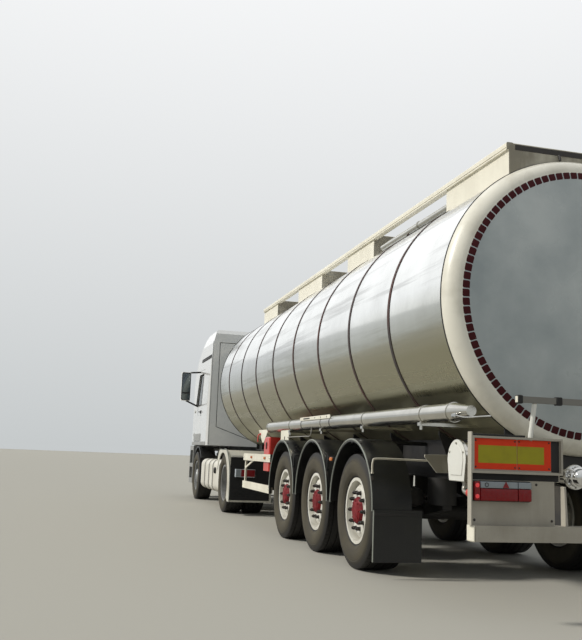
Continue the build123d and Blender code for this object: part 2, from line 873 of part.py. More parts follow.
def cross_tube():
    """Fat tube across behind the last wheels, its end closed by a shield with a tapered foot."""
    start = BEAM_Y + BEAM_WEB / 2 + SEAT
    x, z, r = CROSS_TUBE_X, CROSS_TUBE_Z, CROSS_TUBE_R
    tube = rod_y(x, z, start, CROSS_TUBE_END, r * CROSS_TUBE_SHARE)
    disc = rod_y(x, z, CROSS_TUBE_END, CROSS_TUBE_END + SHIELD_T, r)
    disc = disc - block(x - r, x + r, start, CROSS_TUBE_END + 2 * SHIELD_T, z - 2 * r, z)
    foot = side_plate([(x - r, z), (x + r, z), (x + r * SHIELD_FOOT, z - r), (x - r * SHIELD_FOOT, z - r)],
                      CROSS_TUBE_END, CROSS_TUBE_END + SHIELD_T)
    return fused(tube, disc, foot)


def pipework():
    """Crown pipe, rear discharge and the cross tubes."""
    return [crown_pipe(), discharge()] + both_sides(cross_tube())


# Trailer frame

def frame_beam():
    """Deep beam under one side of the tank, with its web cut to the tank."""
    web = block(BEAM_REAR, BEAM_FRONT, BEAM_Y - BEAM_WEB / 2, BEAM_Y + BEAM_WEB / 2,
                BEAM_BOTTOM, tank_under(BEAM_Y) + 60)
    flange = block(BEAM_REAR, BEAM_FRONT, BEAM_Y - BEAM_FLANGE_W / 2, BEAM_Y + BEAM_FLANGE_W / 2,
                   BEAM_BOTTOM, BEAM_BOTTOM + BEAM_FLANGE_T)
    return web + flange


def saddle(x):
    """Cross plate between the beams that cradles the tank."""
    bottom = BEAM_BOTTOM + SADDLE_DROP / 3
    half = SADDLE_HALF_W
    points = [(-half, tank_under(half) + 60), (-half, tank_under(half) - 40), (-BEAM_Y, bottom),
              (BEAM_Y, bottom), (half, tank_under(half) - 40), (half, tank_under(half) + 60)]
    return end_plate(points, x - SADDLE_T / 2, x + SADDLE_T / 2)


def coupling_frame():
    """Rubbing plate with its webs up to the tank and the kingpin below."""
    low = FIFTH_TOP + SEAT
    rear = KINGPIN_X - COUPLING_BEHIND
    front = TANK_FRONT - 20
    half = COUPLING_HALF_W
    shape = block(rear, front, -half, half, low, low + COUPLING_PLATE_T)
    top = tank_under(half) + 20
    for y in (-COUPLING_WEB_Y, COUPLING_WEB_Y):
        web = block(rear, front, y - COUPLING_WEB_T / 2, y + COUPLING_WEB_T / 2, low, top)
        shape = shape + web
    for x in (rear + COUPLING_WEB_T / 2, KINGPIN_X, front - COUPLING_WEB_T / 2):
        web = block(x - COUPLING_WEB_T / 2, x + COUPLING_WEB_T / 2, -half, half, low, top)
        shape = shape + web
    shape = shape - TANK_SPACE
    pin = rod_z(KINGPIN_X, 0, low - KINGPIN_DROP, low + COUPLING_PLATE_T, KINGPIN_R)
    return shape + pin


def trailer_frame():
    """Two deep beams joined by saddles, and the coupling frame ahead of them."""
    shape = fused(frame_beam(), mirrored(frame_beam()))
    first = BEAM_REAR + SADDLE_INSET
    span = BEAM_FRONT - SADDLE_FRONT_INSET - first
    for i in range(SADDLE_COUNT):
        shape = shape + saddle(first + span * i / (SADDLE_COUNT - 1))
    pipe_way = rod_x(DISCHARGE_Y, DISCHARGE_Z, BEAM_REAR - 10, DISCHARGE_SUMP_X, DISCHARGE_R + 12)
    return [shape - TANK_SPACE - pipe_way, coupling_frame()]


def landing_leg():
    """Raised leg in its outer tube, bolted to the beam's web."""
    y0 = LEG_Y - LEG_W / 2
    outer = block(LEG_X - LEG_W / 2, LEG_X + LEG_W / 2, y0, LEG_Y + LEG_W / 2, LEG_BOTTOM, LEG_TOP)
    inner = block(LEG_X - LEG_INNER_W / 2, LEG_X + LEG_INNER_W / 2, LEG_Y - LEG_INNER_W / 2,
                  LEG_Y + LEG_INNER_W / 2, LEG_INNER_BOTTOM, LEG_BOTTOM)
    foot = block(LEG_X - LEG_FOOT_W / 2, LEG_X + LEG_FOOT_W / 2, LEG_Y - LEG_FOOT_W / 2,
                 LEG_Y + LEG_FOOT_W / 2, LEG_INNER_BOTTOM - LEG_FOOT_T, LEG_INNER_BOTTOM)
    web_face = BEAM_Y + BEAM_WEB / 2 + SEAT
    bracket = block(LEG_X - LEG_W / 2, LEG_X + LEG_W / 2, web_face, y0, BEAM_BOTTOM + 80, LEG_TOP)
    return fused(outer, inner, foot, bracket)


def landing_gear():
    """Both legs and the shaft that joins their gears."""
    shaft = rod_y(LEG_X, LEG_BOTTOM + 100, -LEG_Y, LEG_Y, STAY_R)
    return [fused(landing_leg(), mirrored(landing_leg()), shaft)]


# Trailer running gear

def trailer_axle(x):
    """Round beam on two trailing arms, with hangers in front and air bags behind."""
    z = TRAILER_TYRE_R
    beam = rod_y(x, z, -AXLE_HALF, AXLE_HALF, AXLE_TUBE_R)
    spindle = rod_y(x, z, -AXLE_HALF - SPINDLE_LENGTH, AXLE_HALF + SPINDLE_LENGTH, SPINDLE_R)
    shape = beam + spindle
    hanger_x = x + HANGER_LEAD
    bag_x = x - AIRBAG_LAG
    top = BEAM_BOTTOM - SEAT
    pivot_z = z + 120
    for side in (-1, 1):
        y0, y1 = sorted((side * (ARM_Y - ARM_W / 2), side * (ARM_Y + ARM_W / 2)))
        arm = side_plate([(hanger_x + 40, pivot_z - 45), (hanger_x + 40, pivot_z + 45), (x, z + 90),
                          (bag_x - 110, z + 100), (bag_x - 110, z + 50), (x, z - 30)], y0, y1)
        hanger = side_plate([(hanger_x - HANGER_W / 2, top), (hanger_x + HANGER_W / 2, top),
                             (hanger_x + 50, pivot_z - 60), (hanger_x - 50, pivot_z - 60)], y0, y1)
        bag = rod_z(bag_x, side * ARM_Y, z + 90, top, AIRBAG_R)
        shape = fused(shape, arm, hanger, bag)
    return shape


def trailer_axles():
    """Three axles on their hangers."""
    return [trailer_axle(x) for x in BOGIE_X]


def half_ring(x, z, inner, outer, y0, y1):
    """Upper half of a ring with its thickness along Y."""
    ring = rod_y(x, z, y0, y1, outer) - rod_y(x, z, y0, y1, inner)
    return ring - block(x - 2 * outer, x + 2 * outer, y0 - 1, y1 + 1, z - 2 * outer, z)


def mudguard(x):
    """Half-round guard over a wheel, with its outer lip and the stay to the frame."""
    z = GUARD_Z
    shell = half_ring(x, z, GUARD_R, GUARD_R + GUARD_T, GUARD_IN, GUARD_OUT)
    lip = half_ring(x, z, GUARD_R - GUARD_LIP, GUARD_R + GUARD_T, GUARD_OUT - GUARD_T, GUARD_OUT)
    stay_z = z + GUARD_R - STAY_R
    start = BEAM_Y + BEAM_WEB / 2 + SEAT
    stay = rod_y(x, stay_z, start, GUARD_OUT - GUARD_T, STAY_R)
    return fused(shell, lip, stay)


def mud_flap():
    """Flap that hangs from the last guard's rear end."""
    x = BOGIE_X[0] - GUARD_R - GUARD_T
    return block(x - FLAP_T, x + GUARD_T, GUARD_IN - 90, GUARD_OUT - 10, FLAP_BOTTOM, GUARD_Z)


def trailer_mudguards():
    """Guards over the six wheels, the rear pair with flaps."""
    pieces = []
    for x in BOGIE_X:
        guard = mudguard(x)
        if x == BOGIE_X[0]:
            guard = guard + mud_flap()
        pieces += both_sides(guard)
    return pieces


# Trailer sides

def side_guard():
    """Two planks on posts, hung from arms that stand out from the frame."""
    rear = SIDE_GUARD_REAR
    front = SIDE_GUARD_FRONT
    outer = SIDE_GUARD_Y
    inner = outer - PLANK_T
    shape = None
    for z in PLANK_Z:
        plank = block(rear, front, inner, outer, z, z + PLANK_H)
        shape = plank if shape is None else shape + plank
    top = PLANK_Z[-1] + PLANK_H
    web_face = BEAM_Y + BEAM_WEB / 2 + SEAT
    for x in (rear + POST_INSET + POST_W / 2, front - POST_INSET - POST_W / 2):
        post = block(x - POST_W / 2, x + POST_W / 2, inner - POST_T, inner, PLANK_Z[0], top)
        arm = block(x - POST_W / 2, x + POST_W / 2, web_face, inner, top - 35 - OUTRIGGER_H, top - 10)
        shape = fused(shape, post, arm)
    foot_x = front - POST_INSET - POST_W
    foot_z = PLANK_Z[-1] - BRACE_RISE
    head_x, head_z = foot_x - BRACE_RUN, PLANK_Z[-1] + 5
    brace = side_plate([(foot_x + BRACE_W, foot_z), (foot_x + BRACE_W, foot_z + BRACE_W),
                        (head_x, head_z + BRACE_W), (head_x, head_z)], inner - BRACE_T, inner)
    return shape + brace


def side_guards():
    """Planks on both sides."""
    return both_sides(side_guard())


def extinguisher_box():
    """Tall moulded box behind the upper plank, with the seam of its lid round the top."""
    outer = SIDE_GUARD_Y - PLANK_T - SEAT
    inner = outer - RED_BOX_DEPTH
    front = RED_BOX_REAR + RED_BOX_LENGTH
    shape = block(RED_BOX_REAR, front, inner, outer, RED_BOX_BOTTOM, RED_BOX_TOP)
    upper_front = shape.edges().filter_by(Axis.Y).group_by(Axis.Z)[-1].sort_by(Axis.X)[-1]
    shape = fillet(upper_front, RED_BOX_ROUND)
    shape = chamfer(shape.edges().filter_by(Axis.Z), 15)
    seam_z = RED_BOX_TOP - RED_BOX_ROUND - 40
    seam = block(RED_BOX_REAR - 10, front + 10, inner - 10, outer + 10, seam_z, seam_z + RED_BOX_SEAM)
    core = block(RED_BOX_REAR + RED_BOX_SEAM, front - RED_BOX_SEAM, inner + RED_BOX_SEAM,
                 outer - RED_BOX_SEAM, seam_z, seam_z + RED_BOX_SEAM)
    return shape - (seam - core)


def extinguisher_boxes():
    """One box on each side."""
    return both_sides(extinguisher_box())


# Trailer rear

def rear_bumper():
    """Crash beam across the rear on two struts from the frame's beams."""
    beam = block(REAR, REAR + BUMPER_DEPTH, -BUMPER_HALF_W, BUMPER_HALF_W, BUMPER_Z, BUMPER_Z + BUMPER_H)
    inner = BEAM_Y + BEAM_FLANGE_W / 2 + SEAT
    points = [(REAR + 30, BUMPER_Z + 10), (REAR + 120, BUMPER_Z + 10), (BEAM_REAR + 300, BEAM_BOTTOM),
              (BEAM_REAR + 300, BEAM_BOTTOM + BEAM_FLANGE_T), (REAR + 60, BEAM_BOTTOM + BEAM_FLANGE_T)]
    strut = side_plate(points, inner, inner + 14)
    return [fused(beam, strut, mirrored(strut))]


def lamp_carrier():
    """Light plate, open frame of the marker board above it and their side plate."""
    x = REAR + PLATE_INSET
    bottom = BUMPER_Z + BUMPER_H + SEAT
    plate = block(x, x + PLATE_T, PLATE_IN, PLATE_OUT, bottom, PLATE_TOP)
    side = block(REAR + 4, x + PLATE_T, PLATE_OUT - 8, PLATE_OUT, bottom, CARRIER_SIDE_TOP)
    back = block(x, x + PLATE_T, BOARD_IN, PLATE_OUT, PLATE_TOP, BOARD_TOP)
    frame = block(REAR + 4, x, BOARD_IN, PLATE_OUT, BOARD_BOTTOM, BOARD_TOP)
    hole = block(REAR + 4, REAR + 4 + 20, BOARD_IN + BOARD_RIM, PLATE_OUT - 8 - BOARD_RIM,
                 BOARD_BOTTOM + BOARD_RIM, BOARD_TOP - BOARD_RIM)
    post = bar((REAR + 30, 840, BOARD_TOP - 20), (REAR + 30, 800, GUARD_BAR_Z), GUARD_POST_R)
    return fused(plate, side, back, frame - hole, post)


def lamp_carriers():
    """Carriers on both sides joined by the guard bar."""
    x = REAR + GUARD_BAR_T / 2
    low = GUARD_BAR_Z - GUARD_BAR_H / 2
    bar_piece = block(x, x + GUARD_BAR_T, -GUARD_BAR_HALF, GUARD_BAR_HALF, low, low + GUARD_BAR_H)
    return [fused(lamp_carrier(), mirrored(lamp_carrier()), bar_piece)]


def tail_lamp(rear, inner, outer, bottom, height, depth):
    """Lamp with rounded upright edges."""
    shape = block(rear, rear + depth, inner, outer, bottom, bottom + height)
    edges = shape.edges().filter_by(Axis.Z).group_by(Axis.X)[0]
    return fillet(edges, min(depth, 40) * 0.45)


def tail_lamps():
    """Lamp on each light plate of the trailer."""
    rear = REAR + PLATE_INSET - SEAT - LAMP_DEPTH
    return both_sides(tail_lamp(rear, LAMP_IN, LAMP_OUT, LAMP_BOTTOM, LAMP_H, LAMP_DEPTH))


# Tyres and wheels

def tyre(x, y, radius, width):
    """Tyre as a ring whose section has bulged side walls and a flat tread."""
    half = width / 2
    rim_half = half * RIM_SHARE
    bead = rim_half - RIM_LIP_T - SEAT
    lip_top = RIM_R + RIM_LIP + 2
    wall = radius - RIM_R
    section = [(bead, RIM_R + SEAT), (bead, lip_top), (rim_half, lip_top + 4),
               (half * 0.94, RIM_R + wall * 0.22), (half, RIM_R + wall * 0.45),
               (half * 0.97, RIM_R + wall * 0.72), (half * 0.88, radius - wall * 0.06),
               (half * 0.70, radius)]
    points = section + [(-y0, r) for y0, r in reversed(section)]
    return spun(points, x, y, radius)


def rim(x, y, z, tyre_width):
    """Steel rim for a tyre: a thin ring with a lip at each edge."""
    half = tyre_width * RIM_SHARE / 2
    inner = RIM_R - RIM_WALL
    bed = half - RIM_LIP_T
    top = RIM_R + RIM_LIP
    points = [(-half, top), (-half, inner), (half, inner), (half, top), (bed, top), (bed, RIM_R),
              (-bed, RIM_R), (-bed, top)]
    return spun(points, x, y, z)


def wheel_disc(x, face_y, z, dish, side):
    """Pressed disc, flat inside the stud circle and dished out to the rim, facing side."""
    inner = RIM_R - RIM_WALL + 2
    knee = (DISC_FLAT_R + inner) / 2
    points = [(face_y - side * DISC_T, 0), (face_y, 0), (face_y, DISC_FLAT_R),
              (face_y - side * dish * 0.3, knee), (face_y - side * dish, inner),
              (face_y - side * (dish + DISC_T), inner), (face_y - side * (dish * 0.3 + DISC_T), knee),
              (face_y - side * DISC_T, DISC_FLAT_R - 4)]
    return spun(points, x, 0, z)


def hub_cap(x, face_y, z, side, radius, proud):
    """Stepped cap of the hub, standing proud of the disc."""
    points = [(face_y - side * 2 * DISC_T, 0), (face_y + side * proud, 0), (face_y + side * proud, radius / 2),
              (face_y + side * proud * 0.8, radius * 0.7), (face_y + side * proud * 0.7, radius * 0.72),
              (face_y, radius), (face_y - side * 2 * DISC_T, radius)]
    return spun(points, x, 0, z)


def wheel_nuts(x, face_y, z, side):
    """Ring of hexagonal wheel nuts on the disc."""
    start, end = sorted((face_y - side * DISC_T / 2, face_y + side * STUD_PROUD))
    nuts = []
    for i in range(STUD_COUNT):
        angle = 2 * math.pi * i / STUD_COUNT
        across, up = STUD_CIRCLE_R * math.cos(angle), STUD_CIRCLE_R * math.sin(angle)
        place = Pos(x + across, (start + end) / 2, z + up)
        nut = extrude(RegularPolygon(STUD_R, 6), amount=(end - start) / 2, both=True)
        nuts.append(place * Rot(90, 0, 0) * nut)
    return nuts


def hand_holes(x, face_y, z, side):
    """Round holes through the disc outside the stud circle."""
    ends = sorted((face_y - side * 100, face_y + side * 20))
    holes = []
    for i in range(HAND_HOLE_COUNT):
        angle = 2 * math.pi * (i + 0.5) / HAND_HOLE_COUNT
        hole_x = x + HAND_HOLE_CIRCLE_R * math.cos(angle)
        hole_z = z + HAND_HOLE_CIRCLE_R * math.sin(angle)
        holes.append(rod_y(hole_x, hole_z, *ends, HAND_HOLE_R))
    return holes


def with_hub(shape, x, z, y0, y1, spindle_end, radius):
    """Wheel with a hub between y0 and y1, bored for the spindle."""
    hub = rod_y(x, z, *sorted((y0, y1)), radius * 0.9)
    bore = rod_y(x, z, *sorted((y0, spindle_end)), SPINDLE_R + BEARING)
    return shape + hub - bore


def trailer_wheel(x, side):
    """Deep rim with its disc near the outer face."""
    z = TRAILER_TYRE_R
    face = side * (TRAILER_TYRE_Y + TRAILER_DISC_OUT)
    shape = fused(rim(x, side * TRAILER_TYRE_Y, z, TRAILER_TYRE_W),
                  wheel_disc(x, face, z, TRAILER_DISH, side),
                  hub_cap(x, face, z, side, TRAILER_HUB_R, TRAILER_HUB_PROUD), *wheel_nuts(x, face, z, side))
    inner_end = side * (AXLE_HALF + 5)
    return with_hub(shape, x, z, inner_end, face - side * DISC_T / 2,
                    side * (AXLE_HALF + SPINDLE_LENGTH + 5), TRAILER_HUB_R)


def steer_wheel(side):
    """Rim with its disc, hand holes and hub out at the front wheel's face."""
    z = TRACTOR_TYRE_R
    face = side * (STEER_TYRE_Y + STEER_DISC_OUT)
    shape = fused(rim(STEER_X, side * STEER_TYRE_Y, z, TRACTOR_TYRE_W),
                  wheel_disc(STEER_X, face, z, STEER_DISH, side),
                  hub_cap(STEER_X, face, z, side, HUB_R, HUB_PROUD), *wheel_nuts(STEER_X, face, z, side))
    for hole in hand_holes(STEER_X, face, z, side):
        shape = shape - hole
    inner_end = side * (KNUCKLE_Y + CHEEK_OUT + 6)
    return with_hub(shape, STEER_X, z, inner_end, face - side * DISC_T / 2,
                    side * (KNUCKLE_Y + STEER_SPINDLE_END + 5), HUB_R)


def drive_wheel(side):
    """Two rims joined back to back at their discs, the outer one deeply dished."""
    z = TRACTOR_TYRE_R
    outer_y = side * TWIN_OUTER_Y
    inner_y = side * (TWIN_OUTER_Y - TWIN_SPACING)
    face = side * (TWIN_OUTER_Y - TWIN_SPACING / 2 + DISC_T)
    shape = rim(DRIVE_X, outer_y, z, TRACTOR_TYRE_W)
    shape = shape + rim(DRIVE_X, inner_y, z, TRACTOR_TYRE_W)
    spacer_ends = sorted((inner_y, outer_y))
    spacer = rod_y(DRIVE_X, z, *spacer_ends, RIM_R - 2) - rod_y(DRIVE_X, z, *spacer_ends, RIM_R - RIM_WALL)
    shape = fused(shape, spacer, wheel_disc(DRIVE_X, face, z, 0, side),
                  hub_cap(DRIVE_X, face, z, side, HUB_R, HUB_PROUD), *wheel_nuts(DRIVE_X, face, z, side))
    for hole in hand_holes(DRIVE_X, face, z, side):
        shape = shape - hole
    inner_end = side * (DRIVE_HALF + 5)
    return with_hub(shape, DRIVE_X, z, inner_end, face - side * DISC_T / 2,
                    side * (DRIVE_HALF + DRIVE_SPINDLE_LENGTH + 5), HUB_R)


# Tractor chassis

def chassis_rail():
    """Channel rail with its web outwards."""
    points = [(RAIL_OUT, CHASSIS_BOTTOM), (RAIL_OUT, CHASSIS_TOP), (RAIL_IN, CHASSIS_TOP),
              (RAIL_IN, CHASSIS_TOP - CHASSIS_T), (RAIL_OUT - CHASSIS_T, CHASSIS_TOP - CHASSIS_T),
              (RAIL_OUT - CHASSIS_T, CHASSIS_BOTTOM + CHASSIS_T), (RAIL_IN, CHASSIS_BOTTOM + CHASSIS_T),
              (RAIL_IN, CHASSIS_BOTTOM)]
    return end_plate(points, CHASSIS_REAR, CHASSIS_FRONT)


def tilt_bracket():
    """Bracket at the front of a rail with the pin that the cab turns on."""
    web = side_plate([(CHASSIS_FRONT - 200, CHASSIS_TOP - 60), (CHASSIS_FRONT - 200, CHASSIS_TOP),
                      (TILT_X, TILT_Z + 40), (TILT_X + 40, TILT_Z), (TILT_X, TILT_Z - 60),
                      (CHASSIS_FRONT, CHASSIS_TOP - 150)], RAIL_OUT - 30, RAIL_OUT)
    pin = rod_y(TILT_X, TILT_Z, RAIL_OUT - 30, TILT_EYE_OUT + 15, TILT_PIN_R)
    return web + pin


def tractor_frame():
    """Two rails, their cross tubes and the cab's tilt pins."""
    shape = None
    for side in both_sides(chassis_rail() + tilt_bracket()):
        shape = side if shape is None else shape + side
    span = CHASSIS_FRONT - CHASSIS_REAR - 200
    z = (CHASSIS_BOTTOM + CHASSIS_TOP) / 2 - 30
    for i in range(CROSS_TUBE_COUNT):
        x = CHASSIS_REAR + 100 + span * i / (CROSS_TUBE_COUNT - 1)
        if ENGINE_REAR - GEARBOX_LENGTH < x < ENGINE_REAR + ENGINE_LENGTH:
            continue
        shape = shape + rod_y(x, z, -RAIL_OUT + 4, RAIL_OUT - 4, CHASSIS_TUBE_R)
    return [shape]


def fifth_wheel():
    """Coupling plate with its throat open to the rear, on two feet over the rails."""
    plate = rod_z(KINGPIN_X, 0, FIFTH_TOP - FIFTH_PLATE_T, FIFTH_TOP, FIFTH_PLATE_R)
    throat = KINGPIN_R + THROAT_CLEAR
    low = FIFTH_TOP - FIFTH_PLATE_T - 1
    wedge = make_face(Plane.XY.offset(low) * Polyline(
        (KINGPIN_X, throat), (KINGPIN_X - 180, throat + 10), (KINGPIN_X - 2 * FIFTH_PLATE_R, 240),
        (KINGPIN_X - 2 * FIFTH_PLATE_R, -240), (KINGPIN_X - 180, -throat - 10), (KINGPIN_X, -throat),
        close=True))
    plate = plate - extrude(wedge, amount=FIFTH_PLATE_T + 2, dir=(0, 0, 1))
    plate = plate - rod_z(KINGPIN_X, 0, low, FIFTH_TOP + 1, throat)
    shape = plate
    for side in (-1, 1):
        y0, y1 = sorted((side * (RAIL_IN - 40), side * RAIL_OUT))
        foot = side_plate([(KINGPIN_X - FIFTH_FOOT_HALF_X, CHASSIS_TOP + SEAT),
                           (KINGPIN_X + FIFTH_FOOT_HALF_X, CHASSIS_TOP + SEAT),
                           (KINGPIN_X + 70, FIFTH_TOP - FIFTH_PLATE_T / 2),
                           (KINGPIN_X - 70, FIFTH_TOP - FIFTH_PLATE_T / 2)], y0, y1)
        shape = shape + foot
    return [shape]


def drive_axle():
    """Axle housing with its differential, carriers and four air bags."""
    z = TRACTOR_TYRE_R
    reach = DRIVE_HALF + DRIVE_SPINDLE_LENGTH
    shape = fused(rod_y(DRIVE_X, z, -DRIVE_HALF, DRIVE_HALF, DRIVE_TUBE_R),
                  rod_y(DRIVE_X, z, -reach, reach, SPINDLE_R),
                  Pos(DRIVE_X, 0, z) * Sphere(DIFF_R),
                  rod_x(0, z, DRIVE_X, DRIVE_X + 330, 90))
    bag_y = (RAIL_IN + RAIL_OUT) / 2
    for side in (-1, 1):
        y0, y1 = sorted((side * (bag_y - DRIVE_ARM_W / 2), side * (bag_y + DRIVE_ARM_W / 2)))
        arm = block(DRIVE_X - DRIVE_BAG_OUT - 90, DRIVE_X + DRIVE_BAG_OUT + 90, y0, y1, z - 90, z - 40)
        shape = shape + arm
        for way in (-1, 1):
            x = DRIVE_X + way * DRIVE_BAG_OUT
            shape = shape + rod_z(x, side * bag_y, z - 40, CHASSIS_BOTTOM - SEAT, DRIVE_BAG_R)
    return [shape]


def steer_axle():
    """Dropped beam with an eye at each end, under two leaf springs."""
    z = TRACTOR_TYRE_R
    half = BEAM_W / 2
    low_eye, high_eye = z - EYE_H / 2, z + EYE_H / 2
    right = [(KNUCKLE_Y, high_eye), (KNUCKLE_Y, low_eye), (KNUCKLE_Y - 100, low_eye),
             (KNUCKLE_Y - 230, STEER_BEAM_BOTTOM)]
    left = [(-y, height) for y, height in reversed(right)]
    points = right + left + [(-KNUCKLE_Y + 240, STEER_BEAM_TOP), (KNUCKLE_Y - 240, STEER_BEAM_TOP)]
    shape = end_plate(points, STEER_X - half, STEER_X + half)
    for side in (-1, 1):
        y = side * KNUCKLE_Y
        shape = shape + rod_z(STEER_X, y, z - EYE_H / 2, z + EYE_H / 2, EYE_R)
        shape = shape - rod_z(STEER_X, y, z - EYE_H, z + EYE_H, STEER_PIN_R + BEARING)
        shape = shape + leaf_spring(side)
    return [shape]


def leaf_spring(side):
    """Bowed leaf pack clamped on the beam, with its eyes hung from the rail."""
    y0, y1 = sorted((side * (SPRING_Y - SPRING_W / 2), side * (SPRING_Y + SPRING_W / 2)))
    low = STEER_BEAM_TOP + SPRING_PAD
    eye = low + 90
    half = SPRING_HALF
    leaf = side_plate([(STEER_X - half, eye - 20), (STEER_X - half / 2, low + 25), (STEER_X, low),
                       (STEER_X + half / 2, low + 25), (STEER_X + half, eye - 20),
                       (STEER_X + half, eye + 20), (STEER_X + half / 2, low + 85),
                       (STEER_X, low + 70), (STEER_X - half / 2, low + 85),
                       (STEER_X - half, eye + 20)], y0, y1)
    pad = block(STEER_X - BEAM_W / 2, STEER_X + BEAM_W / 2, y0, y1, STEER_BEAM_TOP, low + 5)
    shape = leaf + pad
    for x in (STEER_X - half, STEER_X + half):
        shackle = block(x - 40, x + 40, y0, y1, eye - 40, CHASSIS_BOTTOM - SEAT)
        shape = shape + shackle
    return shape


def knuckle(side):
    """Steering knuckle: two ears about the beam's eye, a spindle and a steering arm."""
    z = TRACTOR_TYRE_R
    y = side * KNUCKLE_Y
    out = side
    ear_low = z - EYE_H / 2 - EAR_GAP
    ear_high = z + EYE_H / 2 + EAR_GAP
    shape = fused(rod_z(STEER_X, y, ear_low - EAR_H, ear_low, EAR_R),
                  rod_z(STEER_X, y, ear_high, ear_high + EAR_H, EAR_R))
    cheek = sorted((y + out * CHEEK_IN, y + out * CHEEK_OUT))
    plate = block(STEER_X - 50, STEER_X + 50, cheek[0], cheek[1], ear_low - EAR_H, ear_high + EAR_H)
    for low, high in ((ear_low - EAR_H, ear_low), (ear_high, ear_high + EAR_H)):
        link = sorted((y, y + out * (CHEEK_IN + 4)))
        shape = shape + block(STEER_X - 50, STEER_X + 50, link[0], link[1], low, high)
    spindle = rod_y(STEER_X, z, *sorted((y + out * (CHEEK_OUT - 4), y + out * STEER_SPINDLE_END)), SPINDLE_R)
    pin = rod_z(STEER_X, y, ear_low - 1, ear_high + 1, STEER_PIN_R)
    arm_y = side * STEER_ARM_Y
    arm_points = Polyline((STEER_X, arm_y - 30), (STEER_X - STEER_ARM, arm_y - 22),
                          (STEER_X - STEER_ARM - 20, arm_y), (STEER_X - STEER_ARM, arm_y + 22),
                          (STEER_X, arm_y + 30), close=True)
    arm = extrude(make_face(Plane.XY.offset(ear_low - EAR_H) * arm_points), amount=EAR_H, dir=(0, 0, 1))
    ball = rod_z(STEER_X - STEER_ARM, arm_y, ear_low - 1, ear_low + 2 + TIE_EYE_H, BALL_PIN_R)
    return [fused(shape, plate, spindle, pin, arm, ball)]


def tie_rod():
    """Track rod between the two steering arms."""
    x = STEER_X - STEER_ARM
    low = TRACTOR_TYRE_R - EYE_H / 2 - EAR_GAP + 2
    z = low + TIE_EYE_H / 2
    shape = rod_y(x, z, -STEER_ARM_Y, STEER_ARM_Y, TIE_ROD_R * 0.9)
    for side in (-1, 1):
        shape = shape + rod_z(x, side * STEER_ARM_Y, low, low + TIE_EYE_H, TIE_EYE_R)
    for side in (-1, 1):
        shape = shape - rod_z(x, side * STEER_ARM_Y, low - 1, low + TIE_EYE_H + 1, BALL_PIN_R + BEARING)
    return [shape]


def engine():
    """Engine and gearbox as plain blocks on the rails' inner sides."""
    motor = block(ENGINE_REAR, ENGINE_REAR + ENGINE_LENGTH, -ENGINE_HALF_W, ENGINE_HALF_W,
                  ENGINE_BOTTOM, ENGINE_TOP)
    box = block(ENGINE_REAR - GEARBOX_LENGTH, ENGINE_REAR, -GEARBOX_HALF_W, GEARBOX_HALF_W,
                ENGINE_BOTTOM, GEARBOX_TOP)
    shape = motor + box
    for x in (ENGINE_REAR - GEARBOX_LENGTH + 200, ENGINE_REAR + ENGINE_LENGTH - 200):
        inner = RAIL_IN - SEAT
        shape = shape + block(x - 50, x + 50, -inner, inner, CHASSIS_BOTTOM + 60, CHASSIS_BOTTOM + 140)
    shaft_z = TRACTOR_TYRE_R
    end = DRIVE_X + 330 + SEAT
    start = ENGINE_REAR - GEARBOX_LENGTH
    shaft = bar((start + 10, 0, ENGINE_BOTTOM + 90), (end + 60, 0, shaft_z), 55)
    cap = rod_x(0, shaft_z, end, end + 90, 70)
    return [fused(shape, shaft, cap)]


def rounded_tank(x0, x1, grow):
    """Prism along X with rounded long edges, grown outwards for a strap."""
    shape = block(x0, x1, FUEL_IN - grow, FUEL_OUT + grow, FUEL_BOTTOM - grow, FUEL_TOP + grow)
    return fillet(shape.edges().filter_by(Axis.X), FUEL_R + grow)


def fuel_tank():
    """Tank with its straps on brackets from the rail."""
    shape = rounded_tank(FUEL_REAR, FUEL_REAR + FUEL_LENGTH, 0)
    for place in STRAP_PLACES:
        x = FUEL_REAR + place
        shape = shape + rounded_tank(x - STRAP_W / 2, x + STRAP_W / 2, STRAP_T)
        shape = shape + block(x - STRAP_W / 2, x + STRAP_W / 2, RAIL_OUT + SEAT, FUEL_IN + 20,
                              CHASSIS_BOTTOM + 20, CHASSIS_BOTTOM + 160)
    return shape


def fuel_tanks():
    """One tank on each side."""
    return both_sides(fuel_tank())


